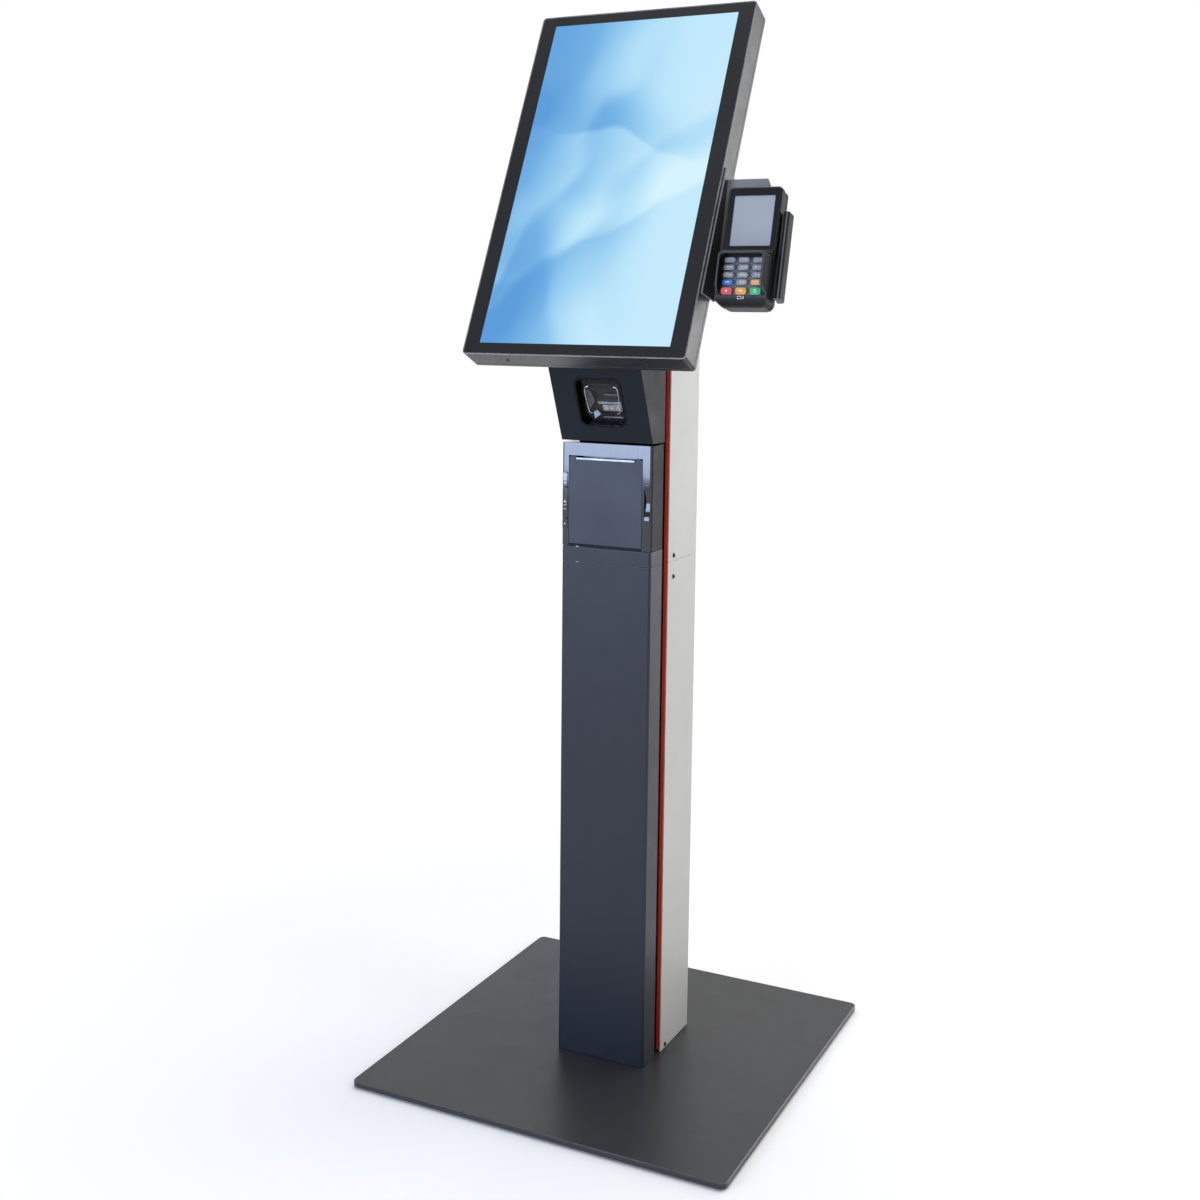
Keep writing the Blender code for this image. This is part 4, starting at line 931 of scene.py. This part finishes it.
def build_stage():
    """A pale floor that brightens into the white backdrop."""
    floor_mesh = bpy.data.meshes.new("floor")
    corners = [(-FLOOR_HALF, -FLOOR_HALF, 0), (FLOOR_HALF, -FLOOR_HALF, 0),
               (FLOOR_HALF, FLOOR_HALF, 0), (-FLOOR_HALF, FLOOR_HALF, 0)]
    floor_mesh.from_pydata(corners, [], [(0, 1, 2, 3)])
    floor = bpy.data.objects.new("floor", floor_mesh)
    floor.location.z = -FLOOR_DROP
    bpy.context.scene.collection.objects.link(floor)
    look = Look("floor_paper", 0.8, 0.0, 0.1)
    cloud = look.noise(0.8, 2.0)
    x, y, _ = look.split()
    away = look.math("SQRT", look.math("ADD", look.math("MULTIPLY", x, x), look.math("MULTIPLY", y, y)))
    lit = look.remap(away, FADE_START, FADE_END, 0.0, 1.0, smooth=True)
    paper = look.mix(look.remap(cloud, 0.3, 0.7, 0.0, 1.0), "f8f8f8", "f4f4f4")
    look.colour(look.mix(lit, paper, BLACK))
    look.feed(look.shader.inputs["Emission Color"], look.mix(lit, BLACK, WHITE))
    look.put("Emission Strength", 1.0)
    look.roughness(look.remap(cloud, 0.3, 0.7, 0.75, 0.85))
    floor_mesh.materials.append(look.material)


# the room's brightness by the ray's direction along Y: dim towards the front, bright towards the back
ROOM_FRONT_Y = -0.35
ROOM_BACK_Y = 0.75
ROOM_DIM = 0.28
ROOM_BRIGHT = 0.85


def build_world():
    """White all round. What lights the object is strong from the backdrop and weak from the room in front."""
    world = bpy.data.worlds.new("studio")
    bpy.context.scene.world = world
    world.use_nodes = True
    tree = world.node_tree
    room = tree.nodes["Background"]
    room.inputs["Color"].default_value = linear("ffffff")
    ray = tree.nodes.new("ShaderNodeTexCoord")
    axes = tree.nodes.new("ShaderNodeSeparateXYZ")
    level = tree.nodes.new("ShaderNodeMapRange")
    level.interpolation_type = "SMOOTHSTEP"
    level.inputs["From Min"].default_value = ROOM_FRONT_Y
    level.inputs["From Max"].default_value = ROOM_BACK_Y
    level.inputs["To Min"].default_value = ROOM_DIM
    level.inputs["To Max"].default_value = ROOM_BRIGHT
    tree.links.new(ray.outputs["Generated"], axes.inputs[0])
    tree.links.new(axes.outputs[1], level.inputs[0])
    tree.links.new(level.outputs[0], room.inputs["Strength"])
    white = tree.nodes.new("ShaderNodeBackground")
    white.inputs["Color"].default_value = linear("ffffff")
    white.inputs["Strength"].default_value = 1.0
    choose = tree.nodes.new("ShaderNodeMixShader")
    rays = tree.nodes.new("ShaderNodeLightPath")
    tree.links.new(rays.outputs["Is Camera Ray"], choose.inputs[0])
    tree.links.new(room.outputs[0], choose.inputs[1])
    tree.links.new(white.outputs[0], choose.inputs[2])
    tree.links.new(choose.outputs[0], tree.nodes["World Output"].inputs[0])


def softbox(name, place, target, width, height, power, code="ffffff"):
    """A rectangular light that faces its target."""
    data = bpy.data.lights.new(name, "AREA")
    data.shape = "RECTANGLE"
    data.size = width
    data.size_y = height
    data.energy = power
    data.color = linear(code)[:3]
    lamp = bpy.data.objects.new(name, data)
    lamp.location = place
    lamp.rotation_euler = (Vector(target) - Vector(place)).to_track_quat("-Z", "Y").to_euler()
    lamp.visible_camera = False
    bpy.context.scene.collection.objects.link(lamp)


def build_lights():
    softbox("softbox_front_left", (-1.35, -2.85, 1.12), (0, 0, 0.75), 1.3, 1.3, 58, "bfd1f7")
    softbox("softbox_front_right", (1.9, -2.4, 1.7), (0, 0, 0.6), 0.8, 1.2, 9)
    softbox("softbox_back_right", (1.9, 2.6, 1.1), (0, 0, 0.9), 1.6, 1.8, 22)
    softbox("softbox_right", (2.4, -0.2, 1.5), (0, 0, 0.8), 1.0, 1.4, 10)
    softbox("softbox_top", (0.2, 0.6, 3.2), (0, 0, 0), 2.6, 2.6, 52)


CAMERA_PLACE = (0.8732, -1.8603, 1.0426)
CAMERA_YAW = math.radians(26.11)
CAMERA_PITCH = math.radians(-7.09)
CAMERA_ROLL = math.radians(0.64)
LENS = 45.47
SHIFT_Y = -0.0833


def build_camera():
    data = bpy.data.cameras.new("camera")
    data.sensor_width = 36.0
    data.lens = LENS
    data.shift_y = SHIFT_Y
    data.clip_start = 0.05
    camera = bpy.data.objects.new("camera", data)
    upright = Matrix.Rotation(math.pi / 2 + CAMERA_PITCH, 4, "X") @ Matrix.Rotation(CAMERA_ROLL, 4, "Z")
    camera.matrix_world = Matrix.Translation(CAMERA_PLACE) @ Matrix.Rotation(CAMERA_YAW, 4, "Z") @ upright
    bpy.context.scene.collection.objects.link(camera)
    bpy.context.scene.camera = camera
    bpy.context.scene.view_settings.view_transform = "Standard"


finish_cad_nodes()
build_display()
build_screws()
build_scanner_parts()
build_printer_marks()
build_key_marks()
build_chin_marks()
build_keypad_plate()
build_stage()
build_world()
build_lights()
build_camera()

bpy.context.view_layer.update()
